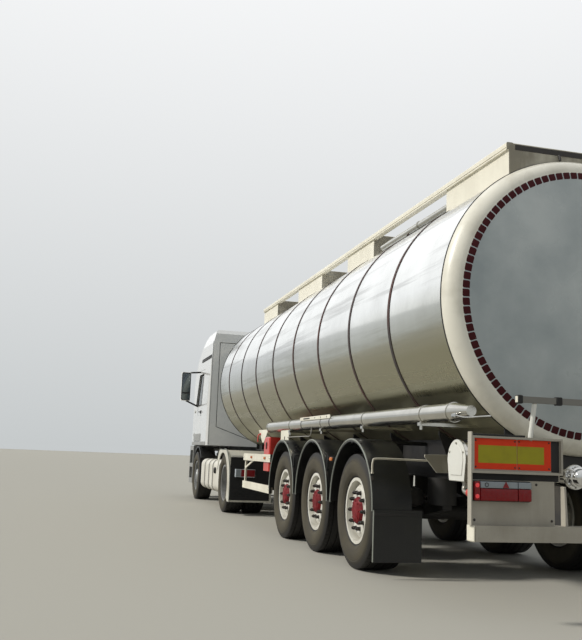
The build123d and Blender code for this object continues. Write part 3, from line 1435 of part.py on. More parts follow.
def drive_guard():
    """Folded guard over the twin wheels, its side plate cut to the wheel's arch, on two stays."""
    top, t, x = DRIVE_GUARD_TOP, DRIVE_GUARD_T, DRIVE_X
    rear, front, flat = DRIVE_GUARD_BEHIND, DRIVE_GUARD_AHEAD, DRIVE_GUARD_FLAT
    outer = [(x - rear, DRIVE_GUARD_FOOT), (x - rear + 10, 520), (x - rear + 90, top - 230), (x - flat, top),
             (x + flat, top), (x + front, top - 130)]
    inner = [(x + front - 5, top - 130 - t), (x + flat - 3, top - t), (x - flat + 3, top - t),
             (x - rear + 97, top - 235), (x - rear + 18, 518), (x - rear + t, DRIVE_GUARD_FOOT)]
    sheet = side_plate(outer + inner, DRIVE_GUARD_IN, DRIVE_GUARD_OUT)
    skirt = side_plate(outer + [(x + front, top - 330), (x - rear + 150, DRIVE_GUARD_FOOT)],
                       DRIVE_GUARD_OUT - t, DRIVE_GUARD_OUT)
    arch = rod_y(x, TRACTOR_TYRE_R, DRIVE_GUARD_OUT - 2 * t, DRIVE_GUARD_OUT + t, DRIVE_ARCH_R)
    stay_end = DRIVE_GUARD_OUT - 40
    rear_stay = rod_y(x - rear + 54, 650, RAIL_OUT + SEAT, stay_end, STAY_R)
    front_stay = rod_y(x + front - 25, top - 150, RAIL_OUT + SEAT, stay_end, STAY_R)
    lamp_arm = block(TRACTOR_LAMP_X + TRACTOR_LAMP_DEPTH + SEAT, x - rear + 55, TRACTOR_LAMP_IN + 40,
                     TRACTOR_LAMP_OUT - 50, TRACTOR_LAMP_Z + 10, TRACTOR_LAMP_Z + TRACTOR_LAMP_H - 10)
    return fused(sheet, skirt - arch, rear_stay, front_stay, lamp_arm)


def drive_mudguards():
    """Guards on both sides of the drive axle."""
    return both_sides(drive_guard())


# Cab

def cab_side_face():
    """Outline of the cab seen from its side."""
    points = [(CAB_REAR, CAB_LIP), (CAB_REAR, ROOF_REAR_Z), (CAB_REAR + 60, CAB_TOP - 40),
              (CAB_REAR + ROOF_FLAT, CAB_TOP), (ROOF_BREAK_X, ROOF_BREAK_Z), (ROOF_NOSE_X, ROOF_NOSE_Z),
              (BROW_X, BROW_Z), (CAB_FRONT - 50, CAB_WAIST), (CAB_FRONT, NOSE_Z), (CAB_FRONT - 10, CAB_LIP)]
    return make_face(Polyline(*points, close=True))


def cab_end_face():
    """Outline of the cab seen from behind, leaning in above its waist."""
    w = CAB_HALF_W
    half = [(w, CAB_LIP), (w, CAB_WAIST), (w - CAB_LEAN, CAB_TOP - 750), (w - 65, CAB_TOP - 300),
            (w - 120, CAB_TOP - 70), (w - 220, CAB_TOP)]
    points = half + [(-y, z) for y, z in reversed(half)]
    return make_face(Polyline(*points, close=True))


def cab_plan_face():
    """Outline of the cab seen from above, with front corners in even steps of an ellipse."""
    w = CAB_HALF_W
    left = [(CAB_FRONT, 400)]
    for i in range(CORNER_STEPS + 1):
        angle = math.pi / 2 * i / CORNER_STEPS
        left.append((CAB_FRONT - CORNER_LONG + (CORNER_LONG - CORNER_SET_BACK) * math.cos(angle),
                     w - CORNER_WIDE + CORNER_WIDE * math.sin(angle)))
    left += [(CAB_REAR + REAR_CORNER, w), (CAB_REAR, w - REAR_CORNER)]
    points = left + [(x, -y) for x, y in reversed(left)]
    return make_face(Polyline(*points, close=True))


def plan_prism(inset, z0, z1):
    """Upright prism on the cab's plan outline."""
    face = cab_plan_face()
    if inset:
        face = offset(face, amount=-inset, kind=Kind.INTERSECTION)
    return extrude(Plane.XY.offset(z0) * face, amount=z1 - z0, dir=(0, 0, 1))


def cab_form(inset, bottom):
    """Solid inside the cab's three outlines, all drawn in by the same inset."""
    side = cab_side_face()
    end = cab_end_face()
    if inset:
        side = offset(side, amount=-inset, kind=Kind.INTERSECTION)
        end = offset(end, amount=-inset, kind=Kind.INTERSECTION)
    side = extrude(Plane.XZ * side, amount=CAB_HALF_W + 100, both=True)
    end = extrude(Plane.YZ * end, amount=FRONT, dir=(1, 0, 0))
    return side & end & plan_prism(inset, bottom, CAB_TOP - inset)


def door_outline(grow):
    """Outline of the door, slanted above the waist like the pillar ahead of it."""
    g = grow
    return [(DOOR_REAR - g, DOOR_BOTTOM - g), (DOOR_FRONT + g, DOOR_BOTTOM - g), (DOOR_FRONT + g, CAB_WAIST),
            (DOOR_FRONT - DOOR_SLANT + g, DOOR_TOP + g), (DOOR_REAR - g, DOOR_TOP + g)]


def door_window_outline(grow):
    """Outline of the door's window."""
    rear = DOOR_REAR + WINDOW_REAR_FRAME - grow
    front = DOOR_FRONT - WINDOW_FRONT_FRAME + grow
    top = DOOR_TOP - WINDOW_TOP_FRAME + grow
    return [(rear, CAB_WAIST - grow), (front, CAB_WAIST - grow), (front - WINDOW_SLANT, top), (rear, top)]


def door_space(outline, depth):
    """Room of an outline through the left side wall, in to a depth from the skin."""
    return side_plate(outline, CAB_HALF_W - depth, CAB_HALF_W + DOOR_DEPTH)


def screen_outline(front, back, grow):
    """Slanted quadrilateral along the windscreen, front and back are depths from the skin."""
    run_x = SCREEN_LOW[0] - SCREEN_TOP[0]
    run_z = SCREEN_LOW[1] - SCREEN_TOP[1]
    size = math.hypot(run_x, run_z)
    ux, uz = run_x / size, run_z / size
    nx, nz = -uz, ux
    corners = []
    for end, sign in ((SCREEN_TOP, -1), (SCREEN_LOW, 1)):
        corners.append((end[0] + sign * grow * ux, end[1] + sign * grow * uz))
    top, low = corners
    return [(top[0] + nx * front, top[1] + nz * front), (low[0] + nx * front, low[1] + nz * front),
            (low[0] - nx * back, low[1] - nz * back), (top[0] - nx * back, top[1] - nz * back)]


def rear_panel_groove():
    """Pressed line on the rear wall, round a panel whose foot comes to a blunt point."""
    def outline(inset):
        half = REAR_PANEL_HALF - inset
        right = [(half, REAR_PANEL_LOW + inset), (half, REAR_PANEL_HIGH - inset)]
        left = [(-y, z) for y, z in reversed(right)]
        foot = [(-half * 0.3, REAR_PANEL_POINT + inset), (half * 0.3, REAR_PANEL_POINT + inset)]
        return end_plate(right + left + foot, CAB_REAR - 1, CAB_REAR + GROOVE_DEPTH)
    return outline(0) - outline(GROOVE_W)


def cab_walls():
    """Walls and roof of the cab, open below its floor."""
    outer = cab_form(0, CAB_LIP)
    lower_cut = block(CAB_REAR - 10, CAB_FRONT - 130, -CAB_HALF_W - 10, CAB_HALF_W + 10,
                      CAB_LIP - 10, CAB_BOTTOM)
    cabin = cab_form(CAB_WALL, FLOOR_TOP)
    under = plan_prism(CAB_WALL, CAB_LIP - 10, FLOOR_TOP - FLOOR_T)
    return outer - lower_cut - cabin - under - rear_panel_groove()


WALLS = cab_walls()


def tilt_eye():
    """Arm from the cab's floor down to the tilt pin."""
    y0, y1 = TILT_EYE_IN, TILT_EYE_OUT
    arm = side_plate([(TILT_X - TILT_EYE_R, TILT_Z), (TILT_X + TILT_EYE_R, TILT_Z),
                      (TILT_X - 60, FLOOR_TOP - FLOOR_T + 10), (TILT_X - 260, FLOOR_TOP - FLOOR_T + 10)],
                     y0, y1)
    eye = rod_y(TILT_X, TILT_Z, y0, y1, TILT_EYE_R)
    return arm + eye - rod_y(TILT_X, TILT_Z, y0 - 1, y1 + 1, TILT_PIN_R + BEARING)


HINGE_X = DOOR_FRONT + SHUT_LINE / 2
HINGE_Y = CAB_HALF_W + HINGE_PROUD


def hinge_half(z, way):
    """Knuckle of a door hinge with its leaf on the skin, way 1 ahead on the cab or -1 on the door."""
    knuckle_piece = rod_z(HINGE_X, HINGE_Y, z, z + HINGE_H, HINGE_R)
    x0, x1 = sorted((HINGE_X + way * SHUT_LINE, HINGE_X + way * HINGE_LEAF))
    leaf = block(x0, x1, CAB_HALF_W - 5, HINGE_Y + 3, z, z + HINGE_H)
    link_x = sorted((HINGE_X, HINGE_X + way * SHUT_LINE))
    link = block(link_x[0], link_x[1], HINGE_Y - HINGE_R / 2, HINGE_Y + 3, z, z + HINGE_H)
    return fused(knuckle_piece, leaf, link)


def cab_hinges():
    """Fixed knuckles with the pins that the left door turns on."""
    pieces = []
    for z in HINGE_PLACES:
        pin = rod_z(HINGE_X, HINGE_Y, z, z + 2 * HINGE_H, HINGE_PIN_R)
        pieces.append(hinge_half(z, 1) + pin)
    return pieces


def door_hinges(door):
    """The left door with its own knuckles, bored for the pins."""
    for z in HINGE_PLACES:
        low = z + HINGE_H + 1
        door = door + hinge_half(low, -1)
        door = door - rod_z(HINGE_X, HINGE_Y, low - 1, low + HINGE_H + 1, HINGE_PIN_R + BEARING)
    return door


def cab_shell():
    """Cab body with its door openings and windscreen opening cut through."""
    shape = WALLS
    doorway = door_space(door_outline(SHUT_LINE), DOOR_DEPTH + CAB_LEAN)
    shape = shape - doorway - mirrored(doorway)
    screen = side_plate(screen_outline(100, 120, 0), -SCREEN_HALF_W, SCREEN_HALF_W)
    shape = shape - screen
    for piece in [tilt_eye()] + cab_hinges():
        shape = fused(shape, piece, mirrored(piece))
    return [shape]


def mirror_arm():
    """Mirror housing on two arms from the door."""
    x, y = MIRROR_X, CAB_HALF_W
    near = y + MIRROR_GAP
    head = block(x - MIRROR_DEPTH / 2, x + MIRROR_DEPTH / 2, near, near + MIRROR_W, MIRROR_LOW, MIRROR_HIGH)
    head = fillet(head.edges().filter_by(Axis.Z), MIRROR_DEPTH / 3)
    end_y = near + MIRROR_W / 2
    low_arm = bar((x, y - 10, CAB_WAIST - 20), (x, end_y, MIRROR_LOW + 10), MIRROR_ARM_R)
    high_arm = bar((x, y - CAB_LEAN - 15, DOOR_TOP - 20), (x, end_y, MIRROR_HIGH - 10), MIRROR_ARM_R)
    return fused(head, low_arm, high_arm)


def door_left():
    """Door cut from the cab's side wall, with its window opening, hinges and mirror."""
    shape = WALLS & door_space(door_outline(0), DOOR_DEPTH + CAB_LEAN)
    shape = shape - door_space(door_window_outline(0), 4 * CAB_WALL)
    return [door_hinges(fused(shape, mirror_arm()))]


def door_right():
    """Mirror image of the left door."""
    return [mirrored(door_left()[0])]


def door_glass(side):
    """Pane in the door's window, at an even depth below the cab's leaning skin."""
    space = door_space(door_window_outline(-SEAT), 4 * CAB_WALL)
    pane = (cab_form(GLASS_INSET, FLOOR_TOP) - cab_form(GLASS_INSET + GLASS_T, FLOOR_TOP)) & space
    return [pane if side > 0 else mirrored(pane)]


def windscreen():
    """Flat laminated pane in the front opening."""
    half = SCREEN_HALF_W - SEAT
    return [side_plate(screen_outline(-20, 20 + SCREEN_T, -SEAT), -half, half)]


def grille():
    """Six upright-faced bars on a backing plate, shaped to the cab's nose."""
    x0 = CAB_FRONT + SEAT
    top = GRILLE_LOW + GRILLE_COUNT * GRILLE_PITCH
    shape = block(x0, x0 + GRILLE_BACK_T, -GRILLE_HALF_W - 20, GRILLE_HALF_W + 20, GRILLE_LOW - 40, top)
    for i in range(GRILLE_COUNT):
        z = GRILLE_LOW + i * GRILLE_PITCH
        shape = shape + block(x0 + GRILLE_BACK_T - 2, x0 + GRILLE_PROUD, -GRILLE_HALF_W, GRILLE_HALF_W,
                              z, z + GRILLE_BAR_H)
    return shape - cab_form(0, CAB_LIP)


def visor():
    """Sun visor over the windscreen, its root shaped to the cab's brow."""
    root = BROW_X - 160
    tip = BROW_X + VISOR_REACH
    plate = side_plate([(root, BROW_Z + 80), (BROW_X, BROW_Z + 80), (tip, BROW_Z + 80 - VISOR_DROP),
                        (tip, BROW_Z + 65 - VISOR_DROP), (BROW_X + 40, BROW_Z + 5), (root, BROW_Z + 5)],
                       -VISOR_HALF_W, VISOR_HALF_W)
    return plate - cab_form(-SEAT, CAB_LIP)


def cab_trim():
    """Dark grille on the front and visor over the windscreen."""
    return [grille(), visor()]


def cab_seat(y):
    """Seat on its pedestal, with a cushion and a leaning back."""
    x0 = SEAT_REAR
    x1 = x0 + SEAT_LENGTH
    low, high = SEAT_CUSHION_Z, SEAT_CUSHION_Z + SEAT_CUSHION_T
    pedestal = block(x0 + PEDESTAL_INSET, x1 - PEDESTAL_INSET - 50, y - 180, y + 180,
                     FLOOR_TOP + SEAT, low + 10)
    cushion = block(x0, x1, y - SEAT_HALF_W, y + SEAT_HALF_W, low, high)
    back = side_plate([(x0, high - 40), (x0 + 120, high - 40),
                       (x0 + 60, SEAT_BACK_TOP), (x0 - 40, SEAT_BACK_TOP)],
                      y - SEAT_HALF_W + 10, y + SEAT_HALF_W - 10)
    return fused(pedestal, cushion, back)


def dashboard():
    """Dash across the cab with the steering column and wheel on the left."""
    rear = DASH_FRONT - DASH_DEPTH
    half = INSIDE_HALF_W
    body = side_plate([(rear, FLOOR_TOP + SEAT), (DASH_FRONT, FLOOR_TOP + SEAT), (DASH_FRONT - 20, DASH_TOP),
                       (rear - 20, DASH_TOP + 30), (rear - 60, DASH_TOP - 70)], -half, half)
    body = body & cab_form(CAB_WALL + SEAT, FLOOR_TOP)
    column = bar((rear - 20, SEAT_Y, DASH_TOP - 180), (COLUMN_X, SEAT_Y, COLUMN_Z), 30)
    lean = math.radians(STEERING_LEAN)
    hub = Plane(origin=(COLUMN_X, SEAT_Y, COLUMN_Z), z_dir=(-math.sin(lean), 0, math.cos(lean)))
    ring = hub * Torus(STEERING_R, STEERING_RIM_R)
    spokes = (hub * Box(2 * STEERING_R - 10, 40, 14)) + (hub * Box(40, 2 * STEERING_R - 10, 14))
    return fused(body, column, ring, spokes)


def cab_interior():
    """Seats, bunk, dash and steering wheel."""
    bunk_rear = CAB_REAR + CAB_WALL + SEAT
    bunk = block(bunk_rear, bunk_rear + BUNK_LENGTH, -INSIDE_HALF_W, INSIDE_HALF_W,
                 FLOOR_TOP + SEAT, BUNK_TOP)
    return [cab_seat(-SEAT_Y), cab_seat(SEAT_Y), bunk, dashboard()]


# Front end

def bumper_prism(inset, low, high):
    """Upright prism on the cab's plan, grown to the bumper's face less an inset."""
    face = offset(cab_plan_face(), amount=FRONT - CAB_FRONT - inset, kind=Kind.INTERSECTION)
    return extrude(Plane.XY.offset(low) * face, amount=high - low, dir=(0, 0, 1))


def step_box():
    """Entry steps ahead of the front wheel, their outer corner on the bumper's curve."""
    outer = CAB_HALF_W
    shape = block(STEP_REAR, STEP_FRONT, STEP_IN, outer, STEP_BOTTOM, STEP_TOP)
    for z0, z1 in TREAD_HEIGHTS:
        shape = shape - block(STEP_REAR + 60, STEP_FRONT - 70, outer - TREAD_DEPTH, outer + 10, z0, z1)
    return shape & bumper_prism(0, STEP_BOTTOM, STEP_TOP)


def headlamp_space(inset):
    """Room for a headlamp in the bumper's front corner."""
    return block(STEP_FRONT + inset, FRONT + 50, HEADLAMP_IN + inset, HEADLAMP_OUT - inset,
                 HEADLAMP_LOW + inset, HEADLAMP_HIGH - inset)


def bumper_wall():
    """Front wall and corners of the bumper."""
    low, high = FRONT_BUMPER_BOTTOM, FRONT_BUMPER_TOP
    shell = bumper_prism(0, low, high) - bumper_prism(FRONT_BUMPER_WALL, low, high)
    return shell & block(STEP_FRONT - 100, FRONT + 50, -CAB_HALF_W, CAB_HALF_W, low, high)


def front_bumper():
    """Bumper with its steps, held by two brackets from the rails."""
    wall = bumper_wall()
    lamps = headlamp_space(0)
    shape = fused(wall - lamps - mirrored(lamps), step_box(), mirrored(step_box()))
    for y0, y1 in ((RAIL_IN + 5, RAIL_OUT - 35), (-RAIL_OUT + 35, -RAIL_IN - 5)):
        shape = shape + block(CHASSIS_FRONT + SEAT, FRONT - 12, y0, y1,
                              CHASSIS_BOTTOM - 60, CHASSIS_TOP - 170)
    return [shape]


def tractor_lamps():
    """Head lamps in the bumper and tail lamps behind the drive guards."""
    head = bumper_wall() & headlamp_space(SEAT)
    tail = tail_lamp(TRACTOR_LAMP_X, TRACTOR_LAMP_IN, TRACTOR_LAMP_OUT, TRACTOR_LAMP_Z, TRACTOR_LAMP_H,
                     TRACTOR_LAMP_DEPTH)
    return both_sides(head) + both_sides(tail)


def node_list():
    """Every node's name with its list of solids."""
    nodes = {
        "tank_barrel": [tank_barrel()],
        "barrel_bands": barrel_bands(),
        "tank_end_caps": tank_end_caps(),
        "top_boxes": top_boxes(),
        "walkway": walkway(),
        "hose_tubes": hose_tubes(),
        "pipework": pipework(),
        "trailer_frame": trailer_frame(),
        "landing_gear": landing_gear(),
        "trailer_axles": trailer_axles(),
        "trailer_mudguards": trailer_mudguards(),
        "side_guards": side_guards(),
        "extinguisher_boxes": extinguisher_boxes(),
        "rear_bumper": rear_bumper(),
        "lamp_carriers": lamp_carriers(),
        "tail_lamps": tail_lamps(),
        "tractor_frame": tractor_frame(),
        "fifth_wheel": fifth_wheel(),
        "drive_axle": drive_axle(),
        "steer_axle": steer_axle(),
        "knuckle_left": knuckle(1),
        "knuckle_right": knuckle(-1),
        "tie_rod": tie_rod(),
        "engine": engine(),
        "fuel_tanks": fuel_tanks(),
        "drive_mudguards": drive_mudguards(),
        "front_bumper": front_bumper(),
        "tractor_lamps": tractor_lamps(),
        "cab_shell": cab_shell(),
        "cab_trim": cab_trim(),
        "windscreen": windscreen(),
        "cab_interior": cab_interior(),
        "door_left": door_left(),
        "door_right": door_right(),
        "door_glass_left": door_glass(1),
        "door_glass_right": door_glass(-1),
    }
    for i, box in enumerate(TOP_BOXES):
        nodes[f"manhole_lid_{i + 1}"] = manhole_lid(box)
    for name, side in (("left", 1), ("right", -1)):
        for i, x in enumerate(BOGIE_X):
            y = side * TRAILER_TYRE_Y
            nodes[f"trailer_tyre_{i + 1}_{name}"] = [tyre(x, y, TRAILER_TYRE_R, TRAILER_TYRE_W)]
            nodes[f"trailer_wheel_{i + 1}_{name}"] = [trailer_wheel(x, side)]
        nodes[f"steer_tyre_{name}"] = [tyre(STEER_X, side * STEER_TYRE_Y, TRACTOR_TYRE_R, TRACTOR_TYRE_W)]
        nodes[f"steer_wheel_{name}"] = [steer_wheel(side)]
        twins = [TWIN_OUTER_Y, TWIN_OUTER_Y - TWIN_SPACING]
        nodes[f"drive_tyres_{name}"] = [tyre(DRIVE_X, side * y, TRACTOR_TYRE_R, TRACTOR_TYRE_W)
                                        for y in twins]
        nodes[f"drive_wheel_{name}"] = [drive_wheel(side)]
    return nodes


os.makedirs("parts", exist_ok=True)
for name, pieces in node_list().items():
    shape = pieces[0] if len(pieces) == 1 else Compound(children=pieces)
    export_step(shape, f"parts/{name}.step")
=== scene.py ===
# %% [markdown]
# A tanker lorry is mostly sheet metal: a polished round tank, a painted cab and a dark
# chassis under both. The CAD model already holds every piece at its real size, so this
# lesson dresses it. It gives each node a finish, and it adds the small things that a CAD
# model leaves out: tyre tread, wheel nuts, tape, lenses, seats and seals.
# %% Load the frame
import math

import bmesh
import bpy
import numpy as np
from mathutils import Matrix, Vector


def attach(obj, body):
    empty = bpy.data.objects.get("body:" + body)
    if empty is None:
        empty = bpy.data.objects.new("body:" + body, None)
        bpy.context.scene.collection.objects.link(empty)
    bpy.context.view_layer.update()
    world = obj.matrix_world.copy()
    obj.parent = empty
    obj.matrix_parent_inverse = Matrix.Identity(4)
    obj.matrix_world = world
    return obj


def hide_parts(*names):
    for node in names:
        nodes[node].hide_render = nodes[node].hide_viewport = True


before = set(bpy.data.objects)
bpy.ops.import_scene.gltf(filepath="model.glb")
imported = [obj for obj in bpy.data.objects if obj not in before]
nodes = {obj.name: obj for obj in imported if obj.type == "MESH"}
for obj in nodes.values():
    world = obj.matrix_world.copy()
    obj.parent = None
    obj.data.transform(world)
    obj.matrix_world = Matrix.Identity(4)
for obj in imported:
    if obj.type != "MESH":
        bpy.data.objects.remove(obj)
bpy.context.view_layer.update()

# %% [markdown]
# The photograph was taken from a following car, a little over a metre above the road and
# to the left of the lorry. The camera's place, direction and focal length were solved from
# the lorry's own straight edges and round ends, so the three directions below are its
# right, up and forward in the lorry's frame.
# %% Camera
FOCAL_PX = 832.07
SENSOR_MM = 36.0
IMAGE_HEIGHT = 640
CAMERA_PLACE = (-12.018, 3.806, 1.021)
camera_data = bpy.data.cameras.new("camera")
camera_data.sensor_width = SENSOR_MM
camera_data.lens = FOCAL_PX * SENSOR_MM / IMAGE_HEIGHT
camera_data.clip_end = 400.0
camera = bpy.data.objects.new("camera", camera_data)
bpy.context.scene.collection.objects.link(camera)
camera_right = Vector((-0.25623, -0.96585, 0.0382))
camera_up = Vector((-0.14279, 0.07691, 0.98676))
camera_forward = Vector((0.95601, -0.24739, 0.15762))
turn = Matrix((camera_right, camera_up, -camera_forward)).transposed()
camera.matrix_world = Matrix.Translation(CAMERA_PLACE) @ turn.to_4x4()
bpy.context.scene.camera = camera
print("lens", round(camera_data.lens, 2), "mm")

# %% [markdown]
# Colours are easiest to match as the hex values a screen shows. Shaders work in linear
# light, so one function turns a screen colour into a linear one.
# %% Colour


def linear(code, share=1.0):
    """Hex screen colour to linear light, times a share: ((c + 0.055) / 1.055) ** 2.4, or c / 12.92."""
    c = np.array([int(code[i:i + 2], 16) for i in (1, 3, 5)]) / 255.0
    value = np.where(c <= 0.04045, c / 12.92, ((c + 0.055) / 1.055) ** 2.4)
    return (*(value * share).tolist(), 1.0)


# %% [markdown]
# Every finish below is a small tree of nodes. A few functions are enough: one starts a
# material with its shader, one adds a node with its settings and links, and the rest are
# short names for the nodes that come back often.
# %% Materials from nodes


def material(name, **sockets):
    """A material with one Principled shader, whose sockets are set by name."""
    made = bpy.data.materials.new(name)
    made.use_nodes = True
    shader = made.node_tree.nodes["Principled BSDF"]
    for socket, value in sockets.items():
        shader.inputs[socket.replace("_", " ").title().replace("Ior", "IOR")].default_value = value
    return made, shader


def add(made, kind, links, **settings):
    """Adds a node: settings are its own properties, links are numbers or sockets for its inputs."""
    node = made.node_tree.nodes.new(kind)
    for key, value in settings.items():
        setattr(node, key, value)
    for key, value in links.items():
        if isinstance(value, bpy.types.NodeSocket):
            made.node_tree.links.new(value, node.inputs[key])
        else:
            node.inputs[key].default_value = value
    return node.outputs


def join(made, source, shader, socket):
    """Links a socket to one of the shader's."""
    made.node_tree.links.new(source, shader.inputs[socket])


MM = 0.001


def compute(made, operation, *values, **settings):
    """Maths node on one or two values."""
    return add(made, "ShaderNodeMath", dict(enumerate(values)), operation=operation, **settings)[0]


def where_at(made, axis=None, output="Object"):
    """The shaded point in the object's own metres, or its place along one axis."""
    where = add(made, "ShaderNodeTexCoord", {})[output]
    return add(made, "ShaderNodeSeparateXYZ", {"Vector": where})[axis] if axis else where


def cloud(made, size_mm, stretch=(1, 1, 1), detail=4.0, rough=0.55):
    """Noise whose blobs are size_mm across, stretched along the object's axes."""
    scale = tuple(1.0 / s for s in stretch)
    where = add(made, "ShaderNodeMapping", {"Vector": where_at(made), "Scale": scale})["Vector"]
    return add(made, "ShaderNodeTexNoise", {"Vector": where, "Scale": 1.0 / (size_mm * MM),
            "Detail": detail, "Roughness": rough})["Fac"]


def span(made, value, low, high, to_low, to_high):
    """Map Range: low to high becomes to_low to to_high, held at both ends."""
    return add(made, "ShaderNodeMapRange", {"Value": value, "From Min": low, "From Max": high,
            "To Min": to_low, "To Max": to_high})["Result"]


def blend_colour(made, share, first, second):
    """Mix of two colours by a share from 0 to 1."""
    return add(made, "ShaderNodeMix", {0: share, 6: first, 7: second}, data_type="RGBA")[2]


def relief(made, shader, height, depth_mm, strength=1.0):
    """Bump of a real depth in millimetres."""
    normal = add(made, "ShaderNodeBump",
                 {"Height": height, "Distance": depth_mm * MM, "Strength": strength})["Normal"]
    join(made, normal, shader, "Normal")


# %% [markdown]
# Paint on a working lorry is never one colour. Road film dries on it in soft clouds and
# runs down in faint streaks, and near the road it is heavier and spattered with specks. A
# coat is therefore a clean colour, a film colour, noises for the film and the specks, and
# a height for where the film gives out. The film is also duller than the paint, so it
# feeds the roughness too. The fine relief is the orange peel of paint or the grain of a
# moulding, 1 to 3 mm wide as on the real thing.
# %% Painted and moulded coats


def coat(name, clean, film, rough, film_share=0.35, cloud_mm=420, peel_mm=3.0, peel_depth=0.04,
         film_top=2.5, rear_soil_and_shade=0.2, tones=(), **sockets):
    """Coat with clouds and runs of road film up to film_top metres, and film with painted shade on faces
    to the rear.

    Each of the tones is an axis, a place on it and the colour of the paint past that place.
    """
    made, shader = material(name, **sockets)
    runs = compute(made, "MULTIPLY", cloud(made, 55, stretch=(1, 1, 7)), 0.25)
    mixed = compute(made, "ADD", cloud(made, cloud_mm, detail=6.0), runs)
    height = where_at(made, "Z")
    low = span(made, height, 0.0, film_top, 1.0, 0.3)
    mask = compute(made, "MULTIPLY", span(made, mixed, 0.48, 0.8, 0.0, film_share), low)
    specks = span(made, cloud(made, 8, detail=1.0), 0.66, 0.72, 0.0, 0.6)
    specks = compute(made, "MULTIPLY", specks, span(made, height, 0.1, 1.5, 1.0, 0.0))
    mask = compute(made, "MAXIMUM", mask, specks)
    # Faces that look to the rear take more film: partly dirt, partly painted shade, as they face away from
    # the light.
    facing = span(made, where_at(made, "X", "Normal"), -0.95, -0.6, rear_soil_and_shade, 0.0)
    rear_grime_and_shade = compute(made, "MULTIPLY", facing, span(made, mixed, 0.42, 0.68, 0.45, 1.0))
    mask = compute(made, "MAXIMUM", mask, rear_grime_and_shade)
    tone = linear(clean)
    for axis, start, colour in tones:
        past = span(made, where_at(made, axis), start - MM, start + MM, 0.0, 1.0)
        tone = blend_colour(made, past, tone, linear(colour))
    join(made, blend_colour(made, mask, tone, linear(film)), shader, "Base Color")
    join(made, span(made, mask, 0.0, 0.5, rough, min(rough + 0.35, 0.95)), shader, "Roughness")
    relief(made, shader, cloud(made, peel_mm, detail=2.0), peel_depth)
    return made


# Sprayed enamel: clear highlights where it is clean, dull and warm under road film.
cap_white = coat("gloss_enamel_white", "#D6D5CC", "#A8A496", 0.26, 0.3, coat_weight=0.3)
# The cream's rear faces take film strongly: dirt and painted shade.
cream = coat("enamel_cream", "#E2DDCB", "#6F6858", 0.34, 0.3, film_top=5.0, rear_soil_and_shade=0.85)
plate_grey = coat("enamel_plate_grey", "#A8A294", "#6B6455", 0.42, 0.55, film_top=1.6,
                  tones=(("Z", 1.41, "#74736D"), ("X", -6.9485, "#1C1C1E")))
# Chassis enamel on rolled steel has half a gloss. Paint on castings is rough and nearly matt,
# from the grain of the mould, which is drawn 5 mm wide so that it shows.
chassis_black = coat("chassis_enamel_black", "#1B1B1D", "#403C35", 0.45, 0.55, film_top=1.4)
axle_black = coat("cast_iron_painted", "#1B1B1C", "#4C4740", 0.62, 0.7, peel_mm=5.0, peel_depth=0.5,
                  film_top=1.2)
# Moulded polyethylene: smooth and waxy, with broad soft highlights.
guard_black = coat("polyethylene_black", "#0F1012", "#383832", 0.26, 0.5, cloud_mm=300, peel_mm=1.6,
                   peel_depth=0.05, film_top=1.5)
# Extruded and rolled rubber: flat, and greyed by weather.
guard_edge = coat("rubber_edge_grey", "#7C8078", "#5A584E", 0.55, 0.5, film_top=1.5)
flap_black = coat("rubber_flap", "#0D0D0E", "#22211E", 0.7, 0.6, cloud_mm=240, peel_mm=2.5,
                  peel_depth=0.2, film_top=1.0)
# Gel coat on fibreglass: deep colour under a clear shine.
box_red = coat("fibreglass_red", "#C22A1C", "#7A3026", 0.3, 0.35, film_top=2.0, coat_weight=0.4)
# Powder coat and moulded polypropylene: soft whites with no sharp highlight.
fuel_white = coat("powder_coat_white", "#D6D3C8", "#8C8473", 0.36, 0.55, film_top=1.3)
wing_white = coat("polypropylene_offwhite", "#C4C1B4", "#7D7768", 0.42, 0.6, cloud_mm=300, film_top=1.4)
# Base coat under lacquer: a soft white with thin, sharp reflections.
cab_white = coat("base_coat_white", "#E3E3E0", "#A5A196", 0.16, 0.28, peel_mm=2.2, peel_depth=0.015,
                 film_top=3.8, coat_weight=1.0, coat_roughness=0.04)
# Grained polypropylene: nearly matt, so its edges show more than its faces.
trim_dark = coat("polypropylene_dark", "#141517", "#32312D", 0.55, 0.5, peel_mm=1.2, peel_depth=0.12,
                 film_top=2.6)
bumper_grey = coat("polypropylene_grey", "#8F908E", "#6E6A5F", 0.42, 0.45, peel_mm=1.2,
                   peel_depth=0.06, film_top=1.3)
# Painted iron casting: blurred highlights on a grain that is drawn 6 mm wide to show.
engine_grey = coat("cast_iron_grey", "#5C6064", "#3A3833", 0.55, 0.7, peel_mm=6.0, peel_depth=0.4,
                   film_top=2.0)
# Baked enamel on wheels and hubs: half gloss under brake dust, the silver one part metal.
rim_white = coat("rim_enamel_white", "#D8D6CC", "#8B8474", 0.3, 0.55, cloud_mm=160, film_top=1.5)
rim_silver = coat("rim_enamel_silver", "#9EA0A0", "#6F695C", 0.36, 0.6, cloud_mm=160, film_top=1.5,
                  metallic=0.5)
hub_red = coat("hub_enamel_red", "#760F16", "#2B1416", 0.45, 0.8, cloud_mm=60, film_top=1.5,
               specular_ior_level=0.25)
# Oxidised steel: near black, browned by dust.
nut_black = coat("steel_nut_oxide", "#1D1C1B", "#4B4034", 0.5, 0.5, cloud_mm=30, film_top=1.5)
# Sealing paint on the joint bands: dark brown, reddish where it is worn.
band_paint = coat("sealing_band_dark", "#2B2422", "#6A3A30", 0.5, 0.6, cloud_mm=900, film_top=6.0)
# Reflective tape by day: a dark, flat maroon.
tape_red = coat("reflective_tape_maroon", "#420A10", "#26090B", 0.5, 0.4, film_top=5.0, rear_soil_and_shade=0.3,
                specular_ior_level=0.2)
# Extruded rubber seal: a soft black that hardly reflects.
rubber_seal = coat("epdm_seal", "#141414", "#33322E", 0.7, 0.4, cloud_mm=120, film_top=3.5)
